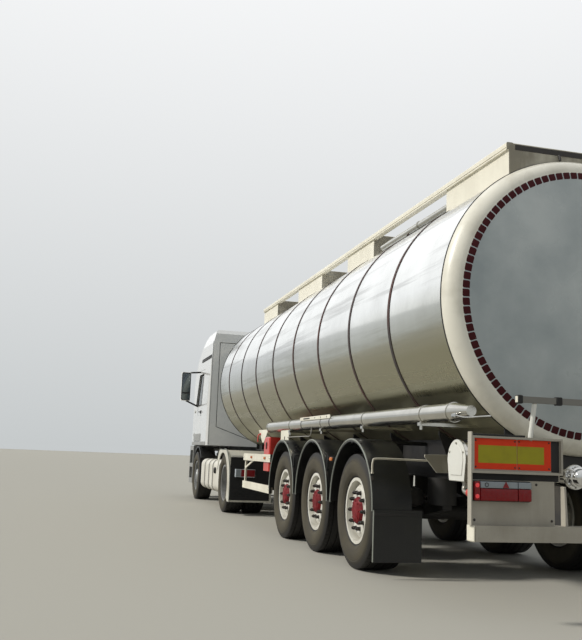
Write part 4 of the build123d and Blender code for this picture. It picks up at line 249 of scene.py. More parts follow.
# Reflective sheet by day: strong flat colours over a faint relief of cells, drawn 5 mm wide.
marker_red = coat("reflective_sheet_red", "#DC3A16", "#9A3A22", 0.42, 0.35, cloud_mm=90, peel_mm=5.0,
                  peel_depth=0.15, film_top=2.4, specular_ior_level=0.2)
marker_yellow = coat("reflective_sheet_yellow", "#9E9620", "#6F6A30", 0.38, 0.5, cloud_mm=90,
                     peel_mm=5.0, peel_depth=0.15, film_top=2.4, specular_ior_level=0.2)
print("painted coats", len(bpy.data.materials))

# %% [markdown]
# The tank's ends are enamelled: a clean pale rim outside the ring of tape, and a duller,
# greyer dish inside it. The dish's grey is painted shade, as it faces away from the light,
# and its blue-grey clouds are partly dirt and partly a painted reflection of the sky. The
# distance from the tank's axis tells the shader which is which.
# %% Enamel for the tank's ends, its dish in painted shade
TANK_Z, TONE_EDGE = 2.25, 1.052
cap_enamel, shader = material("gloss_enamel_shaded_dish", coat_weight=0.4, coat_roughness=0.08)
spot = add(cap_enamel, "ShaderNodeMapping",
           {"Vector": where_at(cap_enamel), "Location": (0, 0, -TANK_Z), "Scale": (0, 1, 1)})["Vector"]
distance = add(cap_enamel, "ShaderNodeVectorMath", {0: spot}, operation="LENGTH")["Value"]
inside = span(cap_enamel, distance, TONE_EDGE - MM, TONE_EDGE + MM, 1.0, 0.0)
dirt_and_sky_haze = span(cap_enamel, cloud(cap_enamel, 700, detail=6.0), 0.35, 0.68, 0.0, 1.0)
# Painted shade: the dish is a darker grey-blue than the rim, clouded by dirt and a painted reflection of
# the sky.
dish = blend_colour(cap_enamel, dirt_and_sky_haze, linear("#B4BAB8"), linear("#8E9798"))
soil = span(cap_enamel, cloud(cap_enamel, 240, detail=6.0), 0.48, 0.8, 0.0, 0.5)
rim_tone = blend_colour(cap_enamel, soil, linear("#E0DCCD"), linear("#A39C88"))
join(cap_enamel, blend_colour(cap_enamel, inside, rim_tone, dish), shader, "Base Color")
join(cap_enamel, span(cap_enamel, dirt_and_sky_haze, 0.0, 1.0, 0.22, 0.42), shader, "Roughness")
relief(cap_enamel, shader, cloud(cap_enamel, 420, detail=1.0), 1.2)
print("tones meet at", TONE_EDGE, "m from the axis")

# %% [markdown]
# The tank's cladding is thin stainless sheet with a mirror finish, rolled round the
# insulation. Sheet that thin is never flat: it quilts a little between its seams, and
# that is what breaks its reflections into wavering streaks. The finish is a full metal
# with low roughness, a long soft relief, and faint rolling marks round the tank. Darker
# streaks along the tank are painted reflection in its colour, and its lower part takes
# road film and a painted reflection of the road.
# %% Bright metals


def bright(name, colour, rough, rough_spread, quilt_mm, quilt_depth, stretch, low_film_and_reflection=None,
           reflection_streak_share=0.45):
    """Polished or brushed steel: long soft relief, fine marks, water marks and streaks along X.

    Each of the streaks darkens the colour as painted reflection and dulls the sheet. The low film adds
    road film and a painted reflection of the road under a height.
    """
    made, shader = material(name, metallic=1.0)
    # Rolling marks are far finer than this, and are drawn 9 mm wide so that they show.
    marks = cloud(made, 9, stretch=stretch, detail=3.0)
    stains = cloud(made, 520, stretch=(1, 1, 1.6), detail=7.0, rough=0.65)
    tone = blend_colour(made, span(made, stains, 0.35, 0.7, 0.0, 1.0), linear(colour),
                        linear(colour, 0.8))
    # Streaks along X darken the colour: painted reflection.
    reflection_streak = span(made, cloud(made, 110, stretch=(22, 1, 1), detail=5.0), 0.5, 0.66, 0.0, reflection_streak_share)
    tone = blend_colour(made, reflection_streak, tone, linear(colour, 0.55))
    all_marks = compute(made, "ADD", compute(made, "ADD", marks, stains), reflection_streak)
    rough = span(made, all_marks, 0.7, 1.5, rough, rough + rough_spread)
    # Under a height, road film and a painted reflection of the road.
    if low_film_and_reflection:
        low, high, film, dulling = low_film_and_reflection
        height = where_at(made, "Z")
        tone = blend_colour(made, span(made, height, low, high, 1.0, 0.0), tone, linear(film))
        rough = compute(made, "ADD", rough, span(made, height, low - 0.6, low + 0.05, dulling, 0.0))
    join(made, tone, shader, "Base Color")
    join(made, rough, shader, "Roughness")
    relief(made, shader, cloud(made, quilt_mm, stretch=(5.0, 0.6, 0.6), detail=2.0), quilt_depth)
    return made


cladding = bright("stainless_mirror_sheet", "#EFF0EE", 0.08, 0.16, 420, 3.4, (0.4, 6, 6),
                  low_film_and_reflection=(1.85, 2.36, "#AAA78F", 0.28), reflection_streak_share=0.8)
# Polished tube: calm, long streaks. Zinc plate: a dull, even sheen. Chrome: a sharp mirror.
tube_steel = bright("stainless_polished_tube", "#D2D0C8", 0.14, 0.1, 900, 0.15, (8, 1, 1))
bright_zinc = bright("zinc_plate", "#B9B6AC", 0.28, 0.25, 60, 0.2, (1, 1, 1))
chrome = bright("chrome_plate", "#DCDCDA", 0.05, 0.1, 200, 0.1, (1, 1, 1))
print("finishes", len(bpy.data.materials))

# %% [markdown]
# Tyre rubber is black only where it is new or wet. On the side wall the road dust sits in
# the moulded rings and turns it brown-grey, while the tread stays dark. Each tyre built
# later carries a UV map whose second coordinate runs from bead to bead, so the finish can
# tell wall from tread.
# %% Rubber
TREAD_SHARE, RING_WAVES = 0.3, 420.0
tyre_rubber, shader = material("tyre_rubber", specular_ior_level=0.35)
from_middle = compute(tyre_rubber, "SUBTRACT", where_at(tyre_rubber, "Y", "UV"), 0.5)
from_middle = compute(tyre_rubber, "ABSOLUTE", from_middle)
on_wall = span(tyre_rubber, from_middle, TREAD_SHARE - 0.04, TREAD_SHARE + 0.02, 0.12, 1.0)
dust = span(tyre_rubber, cloud(tyre_rubber, 130, detail=6.0), 0.25, 0.65, 0.55, 1.0)
dust = compute(tyre_rubber, "MULTIPLY", dust, on_wall)
join(tyre_rubber, blend_colour(tyre_rubber, dust, linear("#111113"), linear("#4A4538")), shader,
     "Base Color")
join(tyre_rubber, span(tyre_rubber, dust, 0.0, 1.0, 0.55, 0.88), shader, "Roughness")
rings = compute(tyre_rubber, "SINE", compute(tyre_rubber, "MULTIPLY", from_middle, RING_WAVES))
relief(tyre_rubber, shader, compute(tyre_rubber, "MULTIPLY", rings, on_wall), 0.35)

# %% [markdown]
# Lamps are coloured acrylic. The lens is moulded with upright ribs on its inner side that
# spread the light, which shows as fine lines. A little transmission lets the reflector
# behind give the lens its depth. A head lamp's lens shows two bright bowls in a dark
# housing, so the distance to each bowl's middle picks the tone there.
# %% Lenses and glass


def waves(made, axis, spacing_mm):
    """Ribs or threads along one axis: the sine of 2 pi times the place over their spacing."""
    return compute(made, "SINE",
                   compute(made, "MULTIPLY", where_at(made, axis), 2 * math.pi / (spacing_mm * MM)))


def lens(name, colour, rib_mm, axis, glow=0.0):
    """Coloured acrylic with ribs rib_mm apart along one axis."""
    made, shader = material(name, roughness=0.16, ior=1.49, specular_ior_level=0.3,
                            transmission_weight=0.15, emission_color=linear(colour),
                            emission_strength=glow)
    line = waves(made, axis, rib_mm)
    shade = span(made, line, -1.0, 1.0, 0.0, 1.0)
    join(made, blend_colour(made, shade, linear(colour), linear(colour, 0.55)), shader, "Base Color")
    relief(made, shader, line, 0.6)
    return made


# Real ribs are 3 to 5 mm apart. These are 7 to 14 mm apart so that they show.
lens_red = lens("acrylic_red", "#8E0A12", 9, "Y", 0.03)
lens_lit = lens("acrylic_red_lit", "#E8484A", 9, "Y", 0.35)
lens_clear = lens("acrylic_clear", "#A9B1B5", 7, "Y")
lens_amber = lens("acrylic_amber", "#C86A12", 7, "Y", 0.04)
BOWL_Z = 0.775
headlamp = lens("acrylic_headlamp", "#C9D0D4", 14, "Y")
beside = compute(headlamp, "ABSOLUTE", where_at(headlamp, "Y"))
flat = add(headlamp, "ShaderNodeCombineXYZ", {"Y": beside, "Z": where_at(headlamp, "Z")})[0]
bowls = [add(headlamp, "ShaderNodeVectorMath", {0: flat, 1: (0, y, BOWL_Z)},
             operation="DISTANCE")["Value"] for y in (0.8, 0.97)]
outside = span(headlamp, compute(headlamp, "MINIMUM", *bowls), 0.066, 0.069, 0.0, 1.0)
ahead = span(headlamp, where_at(headlamp, "X"), 5.0, 5.1, 0.0, 1.0)
housing = blend_colour(headlamp, compute(headlamp, "MULTIPLY", outside, ahead), linear("#C9D0D4"),
                       linear("#2A2D30"))
join(headlamp, housing, headlamp.node_tree.nodes["Principled BSDF"], "Base Color")
# Laminated glass: a grey tint, and a sharp shine that dried smears break.
glass, shader = material("laminated_glass", metallic=0.0, ior=1.52, transmission_weight=1.0,
                         base_color=linear("#7E8B8B"))
smear = cloud(glass, 180, stretch=(1, 1, 3), detail=5.0)
join(glass, span(glass, smear, 0.3, 0.8, 0.0, 0.1), shader, "Roughness")
# Silvered glass: a sharp reflection, a little darker than what it shows.
mirror_glass, shader = material("mirror_glass", metallic=1.0, base_color=linear("#5E666B"))
join(mirror_glass, span(mirror_glass, cloud(mirror_glass, 90), 0.3, 0.8, 0.02, 0.1), shader,
     "Roughness")
print("finishes", len(bpy.data.materials))

# %% [markdown]
# Now each CAD node gets its finish. A finish goes into the node's own material slots, and
# the mesh isn't touched.
# %% Finishes for the CAD nodes


def dress(finish, *names):
    """Puts one finish in every slot of the named nodes."""
    for name in names:
        node = nodes[name]
        if not node.data.materials:
            node.data.materials.append(finish)
        for i in range(len(node.data.materials)):
            node.data.materials[i] = finish


SIDES = {"left": 1, "right": -1}
LIDS = [f"manhole_lid_{i}" for i in range(1, 5)]
dress(cladding, "tank_barrel")
dress(band_paint, "barrel_bands")
dress(cap_enamel, "tank_end_caps")
dress(cream, "top_boxes", "walkway", "side_guards")
dress(tube_steel, "hose_tubes", "pipework", *LIDS)
dress(chassis_black, "trailer_frame", "landing_gear", "tractor_frame", "fifth_wheel")
dress(axle_black, "trailer_axles", "drive_axle", "steer_axle", "knuckle_left", "knuckle_right",
      "tie_rod")
dress(guard_black, "trailer_mudguards")
dress(box_red, "extinguisher_boxes")
dress(plate_grey, "rear_bumper", "lamp_carriers")
dress(headlamp, "tractor_lamps")
dress(engine_grey, "engine")
dress(fuel_white, "fuel_tanks")
dress(wing_white, "drive_mudguards")
dress(bumper_grey, "front_bumper")
dress(cab_white, "cab_shell", "door_left", "door_right")
dress(trim_dark, "cab_trim", "cab_interior")
dress(glass, "windscreen", "door_glass_left", "door_glass_right")
for side in SIDES:
    dress(rim_white, *[f"trailer_wheel_{i}_{side}" for i in (1, 2, 3)])
    dress(rim_silver, f"steer_wheel_{side}", f"drive_wheel_{side}")
    dress(tyre_rubber, *[f"trailer_tyre_{i}_{side}" for i in (1, 2, 3)])
    dress(tyre_rubber, f"steer_tyre_{side}", f"drive_tyres_{side}")

# %% [markdown]
# Every new piece below is a surface worked out as an array: a grid of points, where
# neighbours in the grid are neighbours on the surface. One function joins the grid into
# four-sided faces, and one turns several such grids into a finished object: it merges
# doubled points at seams and poles, turns the faces outwards, smooths all but the sharp
# edges, and lets the piece ride on its body.
# %% Grids into pieces
SHARP = math.radians(35)


def skin(points):
    """Faces of a grid of points: (i, j), (i + 1, j), (i + 1, j + 1), (i, j + 1) for every cell."""
    rows, columns = points.shape[:2]
    start = np.arange(rows - 1)[:, None] * columns + np.arange(columns - 1)[None, :]
    faces = np.stack([start, start + columns, start + columns + 1, start + 1], -1)
    return points.reshape(-1, 3), faces.reshape(-1, 4)


def gather(parts):
    """Several (points, faces) parts as one."""
    first = np.cumsum([0] + [len(points) for points, _ in parts[:-1]])
    faces = [faces + start for (_, faces), start in zip(parts, first)]
    return np.concatenate([points for points, _ in parts]), np.concatenate(faces)


def piece(name, parts, finish, body, uv=None, smooth=SHARP):
    """One object from (points, faces) parts, in metres in the lorry's frame, riding on a body."""
    points, faces = gather(parts)
    mesh = bpy.data.meshes.new(name)
    mesh.vertices.add(len(points))
    mesh.vertices.foreach_set("co", points.astype(np.float32).ravel())
    mesh.loops.add(faces.size)
    mesh.loops.foreach_set("vertex_index", faces.astype(np.int32).ravel())
    mesh.polygons.add(len(faces))
    mesh.polygons.foreach_set("loop_start", np.arange(0, faces.size, 4, dtype=np.int32))
    mesh.update(calc_edges=True)
    if uv is not None:
        mesh.uv_layers.new(name="surface").uv.foreach_set(
            "vector", uv[faces.ravel()].astype(np.float32).ravel())
    tidy = bmesh.new()
    tidy.from_mesh(mesh)
    bmesh.ops.remove_doubles(tidy, verts=tidy.verts, dist=2e-5)
    bmesh.ops.dissolve_degenerate(tidy, edges=tidy.edges, dist=1e-6)
    bmesh.ops.recalc_face_normals(tidy, faces=tidy.faces)
    tidy.to_mesh(mesh)
    tidy.free()
    mesh.shade_smooth()
    mesh.set_sharp_from_angle(angle=smooth)
    mesh.materials.append(finish)
    made = bpy.data.objects.new(name, mesh)
    bpy.context.scene.collection.objects.link(made)
    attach(made, body)
    return made


ORDER = {"X": [2, 0, 1], "Y": [0, 2, 1], "Z": [0, 1, 2]}


def aligned(u, v, w, axis):
    """Points whose w runs along the named axis and whose u and v are the other two, in order."""
    return np.stack(np.broadcast_arrays(u, v, w), -1)[..., ORDER[axis]]


def lathe(profile, centre, axis="Y", steps=48, arc=(0.0, 2 * math.pi)):
    """Surface of revolution: (radius, along) points swing round an axis through centre."""
    radius, place = np.array(profile, float).T
    angle = np.linspace(*arc, steps + 1)[:, None]
    grid = aligned(radius * np.cos(angle), radius * np.sin(angle), place, axis)
    return skin(grid + np.array(centre))


def prism(outline, low, high, axis="Y", bevel=0.0):
    """Closed outline between two places along an axis, with its end edges drawn in by a bevel."""
    ring = np.concatenate([outline, outline[:1]])
    middle = (ring.min(0) + ring.max(0)) / 2
    half = np.ptp(ring, axis=0) / 2
    shrunk = middle + (ring - middle) * (1 - bevel / half)
    rows = [(middle + ring * 0, low), (shrunk, low), (ring, low + bevel), (ring, high - bevel),
            (shrunk, high), (middle + ring * 0, high)]
    return skin(np.stack([aligned(row[:, 0], row[:, 1], place, axis) for row, place in rows]))


def rounded(width, height, radius, centre=(0, 0), per_corner=5):
    """Rectangle with round corners: each corner's centre plus a quarter circle."""
    angle = (np.arange(4 * per_corner) + 0.5) / (4 * per_corner) * 2 * math.pi
    side_u, side_v = np.sign(np.cos(angle)), np.sign(np.sin(angle))
    quarter = math.pi / 2
    inside = (angle % quarter / quarter - 0.5 / per_corner) / (1 - 1 / per_corner)
    inside = inside * quarter + angle // quarter * quarter
    u = side_u * (width / 2 - radius) + radius * np.cos(inside)
    v = side_v * (height / 2 - radius) + radius * np.sin(inside)
    return np.stack([u, v], -1) + np.array(centre)


def around(count, radius, centre=(0, 0), start=0.0):
    """Corners of a regular polygon: centre plus radius times (cos, sin) of equal steps."""
    angle = start + np.arange(count) * 2 * math.pi / count
    return np.stack([np.cos(angle), np.sin(angle)], -1) * radius + np.array(centre)


def box_part(low, high, bevel=0.002):
    """Bevelled block between two corners."""
    low, high = np.array(low, float), np.array(high, float)
    size = high - low
    outline = rounded(size[0], size[1], min(bevel, size[0] / 3, size[1] / 3), ((low + high) / 2)[:2],
                      per_corner=2)
    return prism(outline, low[2], high[2], "Z", min(bevel, size[2] / 3))


def sweep(path, radius, sides=12, up=(0, 0, 1)):
    """Round bar along a path: circles square to the path's tangents, closed at both ends."""
    path = np.array(path, float)
    tangent = np.gradient(path, axis=0)
    tangent /= np.linalg.norm(tangent, axis=1, keepdims=True)
    side = np.cross(tangent, np.array(up, float))
    side /= np.linalg.norm(side, axis=1, keepdims=True)
    other = np.cross(side, tangent)
    angle = np.linspace(0, 2 * math.pi, sides + 1)
    radius = np.broadcast_to(np.asarray(radius, float), (len(path),))[:, None, None]
    rings = path[:, None] + radius * (np.cos(angle)[:, None] * side[:, None]
                                      + np.sin(angle)[:, None] * other[:, None])
    first = np.broadcast_to(path[0], rings[:1].shape)
    last = np.broadcast_to(path[-1], rings[:1].shape)
    return skin(np.concatenate([first, rings, last]))


def bent(points, step=0.01):
    """Smooth path through a few points: each span is a Catmull-Rom cubic cut into even steps."""
    points = np.array(points, float)
    padded = np.concatenate([2 * points[:1] - points[1:2], points, 2 * points[-1:] - points[-2:-1]])
    count = max(4, int(np.linalg.norm(np.diff(points, axis=0), axis=1).max() / step))
    t = np.linspace(0, 1, count, endpoint=False)[:, None]
    a, b, c, d = (padded[i:len(padded) - 3 + i][:, None] for i in range(4))
    spans = 0.5 * (2 * b + (c - a) * t + (2 * a - 5 * b + 4 * c - d) * t ** 2
                   + (3 * b - a - 3 * c + d) * t ** 3)
    return np.concatenate([spans.reshape(-1, 3), points[-1:]])


def turns(axis, angles):
    """One rotation matrix for each angle about the axis X or Y."""
    c, s, o, z = np.cos(angles), np.sin(angles), np.ones(len(angles)), np.zeros(len(angles))
    rows = {"X": [o, z, z, z, c, -s, z, s, c], "Y": [c, z, s, z, o, z, -s, z, c]}[axis]
    return np.stack(rows, -1).reshape(-1, 3, 3)


def copies(part, shifts, rotations=None):
    """The same part at many places: every point is turned, then shifted, all in one array."""
    points, faces = part
    shifts = np.atleast_2d(np.array(shifts, float))
    if rotations is None:
        rotations = np.broadcast_to(np.eye(3), (len(shifts), 3, 3))
    placed = np.einsum("kij,nj->kni", rotations, points) + shifts[:, None]
    jump = np.arange(len(shifts))[:, None, None] * len(points)
    return placed.reshape(-1, 3), (faces[None] + jump).reshape(-1, 4)


def other_side(part):
    """Mirror image of a part on the other side of the lorry."""
    points, faces = part
    return points * np.array([1, -1, 1]), faces[:, ::-1]


def pair(*parts):
    """Parts and their mirror images."""
    return list(parts) + [other_side(part) for part in parts]


def both(name, finish, slot, *parts, body="trailer"):
    """A piece of some parts and their mirror images."""
    return piece(name, pair(*parts), finish, body)


def level(axis, place, points):
    """Points given in two directions, all at one place along the third axis."""
    return np.insert(np.array(points, float), "XYZ".index(axis), place, axis=1)


def cut(corners, count):
    """Closed outline whose straight sides are each cut into a number of steps."""
    corners = np.array(corners, float)
    return np.concatenate([np.linspace(a, b, count, endpoint=False)
                           for a, b in zip(corners, np.roll(corners, -1, 0))])


test = prism(rounded(0.2, 0.1, 0.02), 0.0, 0.05, "Z", 0.004)
print("a small rounded plate has", len(test[1]), "faces")

# %% [markdown]
# The rear end carries a ring of reflective tape, cut into pieces about 60 mm square so that
# it can follow the dish's edge. Each square here is a tiny grid laid on the dish: its
# radius gives its height on the shallow sphere, and one copy for each square turns it
# round the tank's axis.
# %% Reflective tape round the rear end
REAR_SEAM, RIM_DEPTH, FACE_R, DISH_BULGE = -6.331, 0.119, 1.06, 0.066
TAPE_COUNT, TAPE_OUT, TAPE_W, TAPE_GAP, TAPE_T = 98, 1.058, 0.06, 0.07, 0.0012


def dish_height(radius):
    """Height of a shallow sphere over its edge: bulge - R + sqrt(R^2 - r^2)."""
    ball = (FACE_R ** 2 + DISH_BULGE ** 2) / (2 * DISH_BULGE)
    return DISH_BULGE - ball + np.sqrt(ball ** 2 - radius ** 2)


def tape_square():
    """Cushion of tape on the dish at angle zero, three steps each way, edges on the dish."""
    share = np.linspace(-1, 1, 7)
    radius = TAPE_OUT - TAPE_W / 2 + share[:, None] * TAPE_W / 2
    angle = share[None, :] * math.pi / TAPE_COUNT * (1 - TAPE_GAP)
    inside = (np.abs(share[:, None]) < 0.9) & (np.abs(share[None, :]) < 0.9)
    lift = np.where(inside, TAPE_T, -0.0005)
    x = REAR_SEAM - RIM_DEPTH - dish_height(radius) - lift
    return skin(np.stack(np.broadcast_arrays(x, radius * np.cos(angle), radius * np.sin(angle)), -1))


tape_turns = turns("X", np.arange(TAPE_COUNT) * 2 * math.pi / TAPE_COUNT)
tape = copies(tape_square(), np.tile([0, 0, TANK_Z], (TAPE_COUNT, 1)), tape_turns)
piece("rear_tape", [tape], tape_red, "trailer")
print("tape squares", TAPE_COUNT)

# %% [markdown]
# A truck tyre is a shape of two parameters: how far round it you are, and how far across.
# Across, a short table gives width and height for half the section, from the bead over
# the shoulder to the crown, and the other half is its mirror image. Round, the radius drops
# in narrow slots: the shoulder blocks of a driving tyre, or the fine cuts of a trailer
# tyre. The grid has a column at every edge of a groove, so grooves stay crisp with few
# faces.
# %% Tyres
TYRE_SECTION = np.array([
    # share of half width, share of wall height
    (0.86, 0.14), (0.925, 0.22), (0.94, 0.235), (0.96, 0.3),
    (0.985, 0.4), (0.996, 0.47), (0.99, 0.55), (0.975, 0.64), (0.955, 0.7), (0.962, 0.715),
    (0.95, 0.745), (0.925, 0.8), (0.905, 0.86), (0.885, 0.91), (0.868, 0.95), (0.845, 0.978)])
RIM_R, BEAD_R = 0.286, 0.303
GROOVE_PLACES, GROOVE_HALF, GROOVE_DEPTH = (0.2, 0.58), 0.024, 0.013
TREAD_EDGE, CROWN_DROP = 0.82, 0.004


def tyre_part(centre, radius, width, blocks, slot_share, slot_depth):
    """Tyre grid: rows go round in steps with four edges for each slot, columns go across."""
    wall = radius - RIM_R
    half = [(0.74 * width / 2, BEAD_R, 0.0), (0.8 * width / 2, BEAD_R + 0.004, 0.0)]
    half += [(y * width / 2, RIM_R + h * wall, 0.0) for y, h in TYRE_SECTION]
    crown = [(0.8, 0), (0.7, 0)]
    for place in GROOVE_PLACES[::-1]:
        crown += [(place + GROOVE_HALF, 0), (place + GROOVE_HALF * 0.7, 1),
                  (place - GROOVE_HALF * 0.7, 1), (place - GROOVE_HALF, 0)]
    half += [(y * width / 2, radius - CROWN_DROP * (y / 0.8) ** 2 - cut_in * GROOVE_DEPTH,
              1.0 - cut_in) for y, cut_in in crown]
    half = np.array(half)
    section = np.concatenate([half, half[::-1] * np.array([-1, 1, 1])])
    edges = np.array([0, 0.02, slot_share, slot_share + 0.02, 0.45, 0.72])
    is_slot = np.array([0, 1, 1, 0, 0, 0])
    angle = ((np.arange(blocks)[:, None] + edges[None]) / blocks).ravel()
    angle = np.append(angle, 1.0) * 2 * math.pi
    drop = np.append(np.tile(is_slot, blocks), 0) * slot_depth
    shoulder = np.clip((np.abs(section[:, 0]) / (width / 2) - 0.6) / 0.05, 0, 1) * section[:, 2]
    deep = section[None, :, 1] - drop[:, None] * shoulder[None, :]
    x = deep * np.cos(angle)[:, None]
    z = deep * np.sin(angle)[:, None]
    points, faces = skin(aligned(x, z, section[None, :, 0], "Y"))
    height = np.clip((section[:, 1] - RIM_R) / wall, 0, 1)
    on_tread = np.abs(section[:, 0]) < TREAD_EDGE * width / 2
    across = np.where(on_tread, 0.5, np.where(section[:, 0] > 0, 0.28 * height, 1 - 0.28 * height))
    uv = np.stack(np.broadcast_arrays(angle[:, None] / (2 * math.pi), across[None, :]), -1)
    return (points + np.array(centre), faces), uv.reshape(-1, 2)


TRAILER_R, TRACTOR_R, TRAILER_W, TRACTOR_W = 0.52, 0.485, 0.385, 0.315
BOGIE, STEER_X, DRIVE_X = (-4.59, -3.28, -1.97), 5.67, 2.07
TRAILER_Y, STEER_Y, TWIN_OUT, TWIN_IN = 1.042, 1.02, 1.088, 0.743
FINE_CUTS, DRIVE_BLOCKS = (60, 0.07, 0.004), (48, 0.22, 0.014)


def tyre(name, body, spots, radius, width, cuts):
    """Tyres of one CAD node as one piece that stands in for it."""
    tyres = [tyre_part((*spot, radius), radius, width, *cuts) for spot in spots]
    made = piece(f"{name}_tread", [part for part, _ in tyres], tyre_rubber, body,
                 np.concatenate([uv for _, uv in tyres]))
    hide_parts(name)
    return made


for side, way in SIDES.items():
    for i, x in enumerate(BOGIE, 1):
        tyre(f"trailer_tyre_{i}_{side}", f"trailer_wheel_{i}_{side}_body", [(x, way * TRAILER_Y)],
             TRAILER_R, TRAILER_W, FINE_CUTS)
    tyre(f"steer_tyre_{side}", f"steer_wheel_{side}_body", [(STEER_X, way * STEER_Y)], TRACTOR_R,
         TRACTOR_W, FINE_CUTS)
    made = tyre(f"drive_tyres_{side}", f"drive_wheels_{side}_body",
                [(DRIVE_X, way * TWIN_OUT), (DRIVE_X, way * TWIN_IN)], TRACTOR_R, TRACTOR_W,
                DRIVE_BLOCKS)
print("faces in the last pair of twin tyres", len(made.data.polygons))

# %% [markdown]
# The wheel nuts of the trailer are dark, on a white disc, round a dark red hub. The hub is
# cast with ribs and carries a cap with its own ring of bolts. The nuts' flanged hexagons
# repeat ten times about the axle, which is one array of turns.
# %% Wheel nuts and hubs
STUD_CIRCLE, STUD_COUNT = 0.1675, 10
TRAILER_HUB_R, TRACTOR_HUB_R = 0.125, 0.142


def nut_part():
    """Flanged nut at the origin, standing out along Y, with the stud's end in its middle."""
    flange = lathe([(0, 0), (0.021, 0), (0.021, 0.004), (0.0175, 0.007), (0, 0.007)], (0, 0, 0),
                   steps=20)
    body = prism(around(6, 0.019), 0.006, 0.035, "Y", 0.002)
    stud = lathe([(0, 0.03), (0.0105, 0.03), (0.0105, 0.044), (0.008, 0.047), (0, 0.047)], (0, 0, 0),
                 steps=12)
    return gather([flange, body, stud])


def hub_part(reach, radius):
    """Cast hub cap: stepped lathe with ribs that swell its side by a cosine of the angle."""
    profile = np.array([(0, 1.0), (0.5, 1.0), (0.6, 0.98), (0.64, 0.88), (0.8, 0.82), (0.86, 0.74),
                        (0.93, 0.4), (1.0, 0.08), (1.0, -0.03), (0, -0.03)])
    profile[:, 1] *= reach
    angle = np.linspace(0, 2 * math.pi, 121)[:, None]
    rib = np.where((profile[:, 0] > 0.8) & (profile[:, 1] > 0), 1.0, 0.0)
    swell = 1 + 0.035 * rib[None] * np.maximum(np.cos(10 * angle), 0)
    r = profile[None, :, 0] * radius * swell
    body = skin(aligned(r * np.cos(angle), r * np.sin(angle), profile[None, :, 1], "Y"))
    bolt = prism(around(6, 0.0085), reach * 0.8, reach * 0.85 + 0.007, "Y", 0.001)
    return gather([body, turned_round(bolt, 8, radius * 0.72)])


def turned_round(part, count, radius):
    """Copies of a part on a circle about the Y axis."""
    ring = around(count, radius)
    return copies(part, np.stack([ring[:, 0], np.zeros(count), ring[:, 1]], -1))


def wheel_dressing(name, body, x, z, face, reach, hub_radius, hub_finish):
    """Nuts and hub of one wheel, built facing +Y and mirrored for the right side."""
    flip = np.array([1, math.copysign(1, face), 1])
    for part, label, finish in ((turned_round(nut_part(), STUD_COUNT, STUD_CIRCLE), "nuts", nut_black),
                                (hub_part(reach, hub_radius), "hub", hub_finish)):
        points, faces = part
        piece(f"{name}_{label}", [(points * flip + np.array([x, face, z]), faces)], finish, body)


for side, way in SIDES.items():
    for i, x in enumerate(BOGIE, 1):
        name = f"trailer_wheel_{i}_{side}"
        wheel_dressing(name, f"{name}_body", x, TRAILER_R, way * (TRAILER_Y + 0.128), 0.038,
                       TRAILER_HUB_R, hub_red)
    for name, body, x, face in (("steer_wheel", "steer_wheel", STEER_X, STEER_Y + 0.06),
                                ("drive_wheel", "drive_wheels", DRIVE_X, TWIN_OUT - 0.1725 + 0.012)):
        wheel_dressing(f"{name}_{side}", f"{body}_{side}_body", x, TRACTOR_R, way * face, 0.078,
                       TRACTOR_HUB_R, rim_silver)
print("nuts on each wheel", STUD_COUNT)

# %% [markdown]
# A long trailer carries two marker boards at its rear: yellow sheet with a red border, each
# in two halves, screwed into a tray. The sheet is a stiff foil on thin plate, so each half
# is a rounded plate of 2 mm with a thinner yellow panel on it.
# %% Marker boards
BOARD_FACE, BOARD_LOW, BOARD_HIGH, SHEET_T = -7.0262, 0.966, 1.164, 0.0025
HALVES = ((0.69, 0.939), (0.943, 1.254))
YELLOW = ((0.742, 0.939), (0.943, 1.222))
YELLOW_LOW, YELLOW_HIGH = 1.006, 1.12


def upright(y_low, y_high, z_low, z_high, round_mm):
    """Rounded rectangle between two places across and two heights."""
    centre = ((y_low + y_high) / 2, (z_low + z_high) / 2)
    return rounded(y_high - y_low, z_high - z_low, round_mm * MM, centre)


def plate_x(y_low, y_high, z_low, z_high, face, thick, round_mm=6, bevel=0.0006):
    """Thin upright plate that faces the rear: a rounded rectangle carried along X."""
    return prism(upright(y_low, y_high, z_low, z_high, round_mm), face - thick, face, "X", bevel)


def screw_head(radius=0.006):
    """Pan head at the origin facing the rear, with its edge rounded over."""
    return lathe([(0, -0.0035), (radius * 0.55, -0.0032), (radius * 0.9, -0.002), (radius, 0), (0, 0)],
                 (0, 0, 0), "X", 14)


red_halves = [plate_x(a, b, BOARD_LOW, BOARD_HIGH, BOARD_FACE, SHEET_T) for a, b in HALVES]
yellow_halves = [plate_x(a, b, YELLOW_LOW, YELLOW_HIGH, BOARD_FACE - SHEET_T, 0.0007, 2, 0.0002)
                 for a, b in YELLOW]
screw_places = [(BOARD_FACE - SHEET_T, y, z) for y in (0.705, 0.925, 0.957, 1.24) for z in (0.98, 1.15)]
both("marker_board_borders", marker_red, "lamp_red", *red_halves)
both("marker_board_panels", marker_yellow, "plate_grey", *yellow_halves)
both("marker_board_screws", nut_black, "band_dark", copies(screw_head(), screw_places))
print("marker board", round(HALVES[1][1] - HALVES[0][0], 3), "m wide")

# %% [markdown]
# The rear lamp is one long housing with several lenses: a clear strip along the top for
# reversing and turning, a deep red strip below it, an end cap that carries the brake
# lights, and a triangle that reflects. Each lens is a pillow with rounded edges, set a
# little apart on a dark housing, so that dark joints show between them as on the real one.
# %% Rear lamps
LAMP_BACK, LAMP_BASE, LENS_FACE = -7.0023, -7.03, -7.0465
LOW_STRIP, HIGH_STRIP = (0.765, 0.842), (0.846, 0.887)


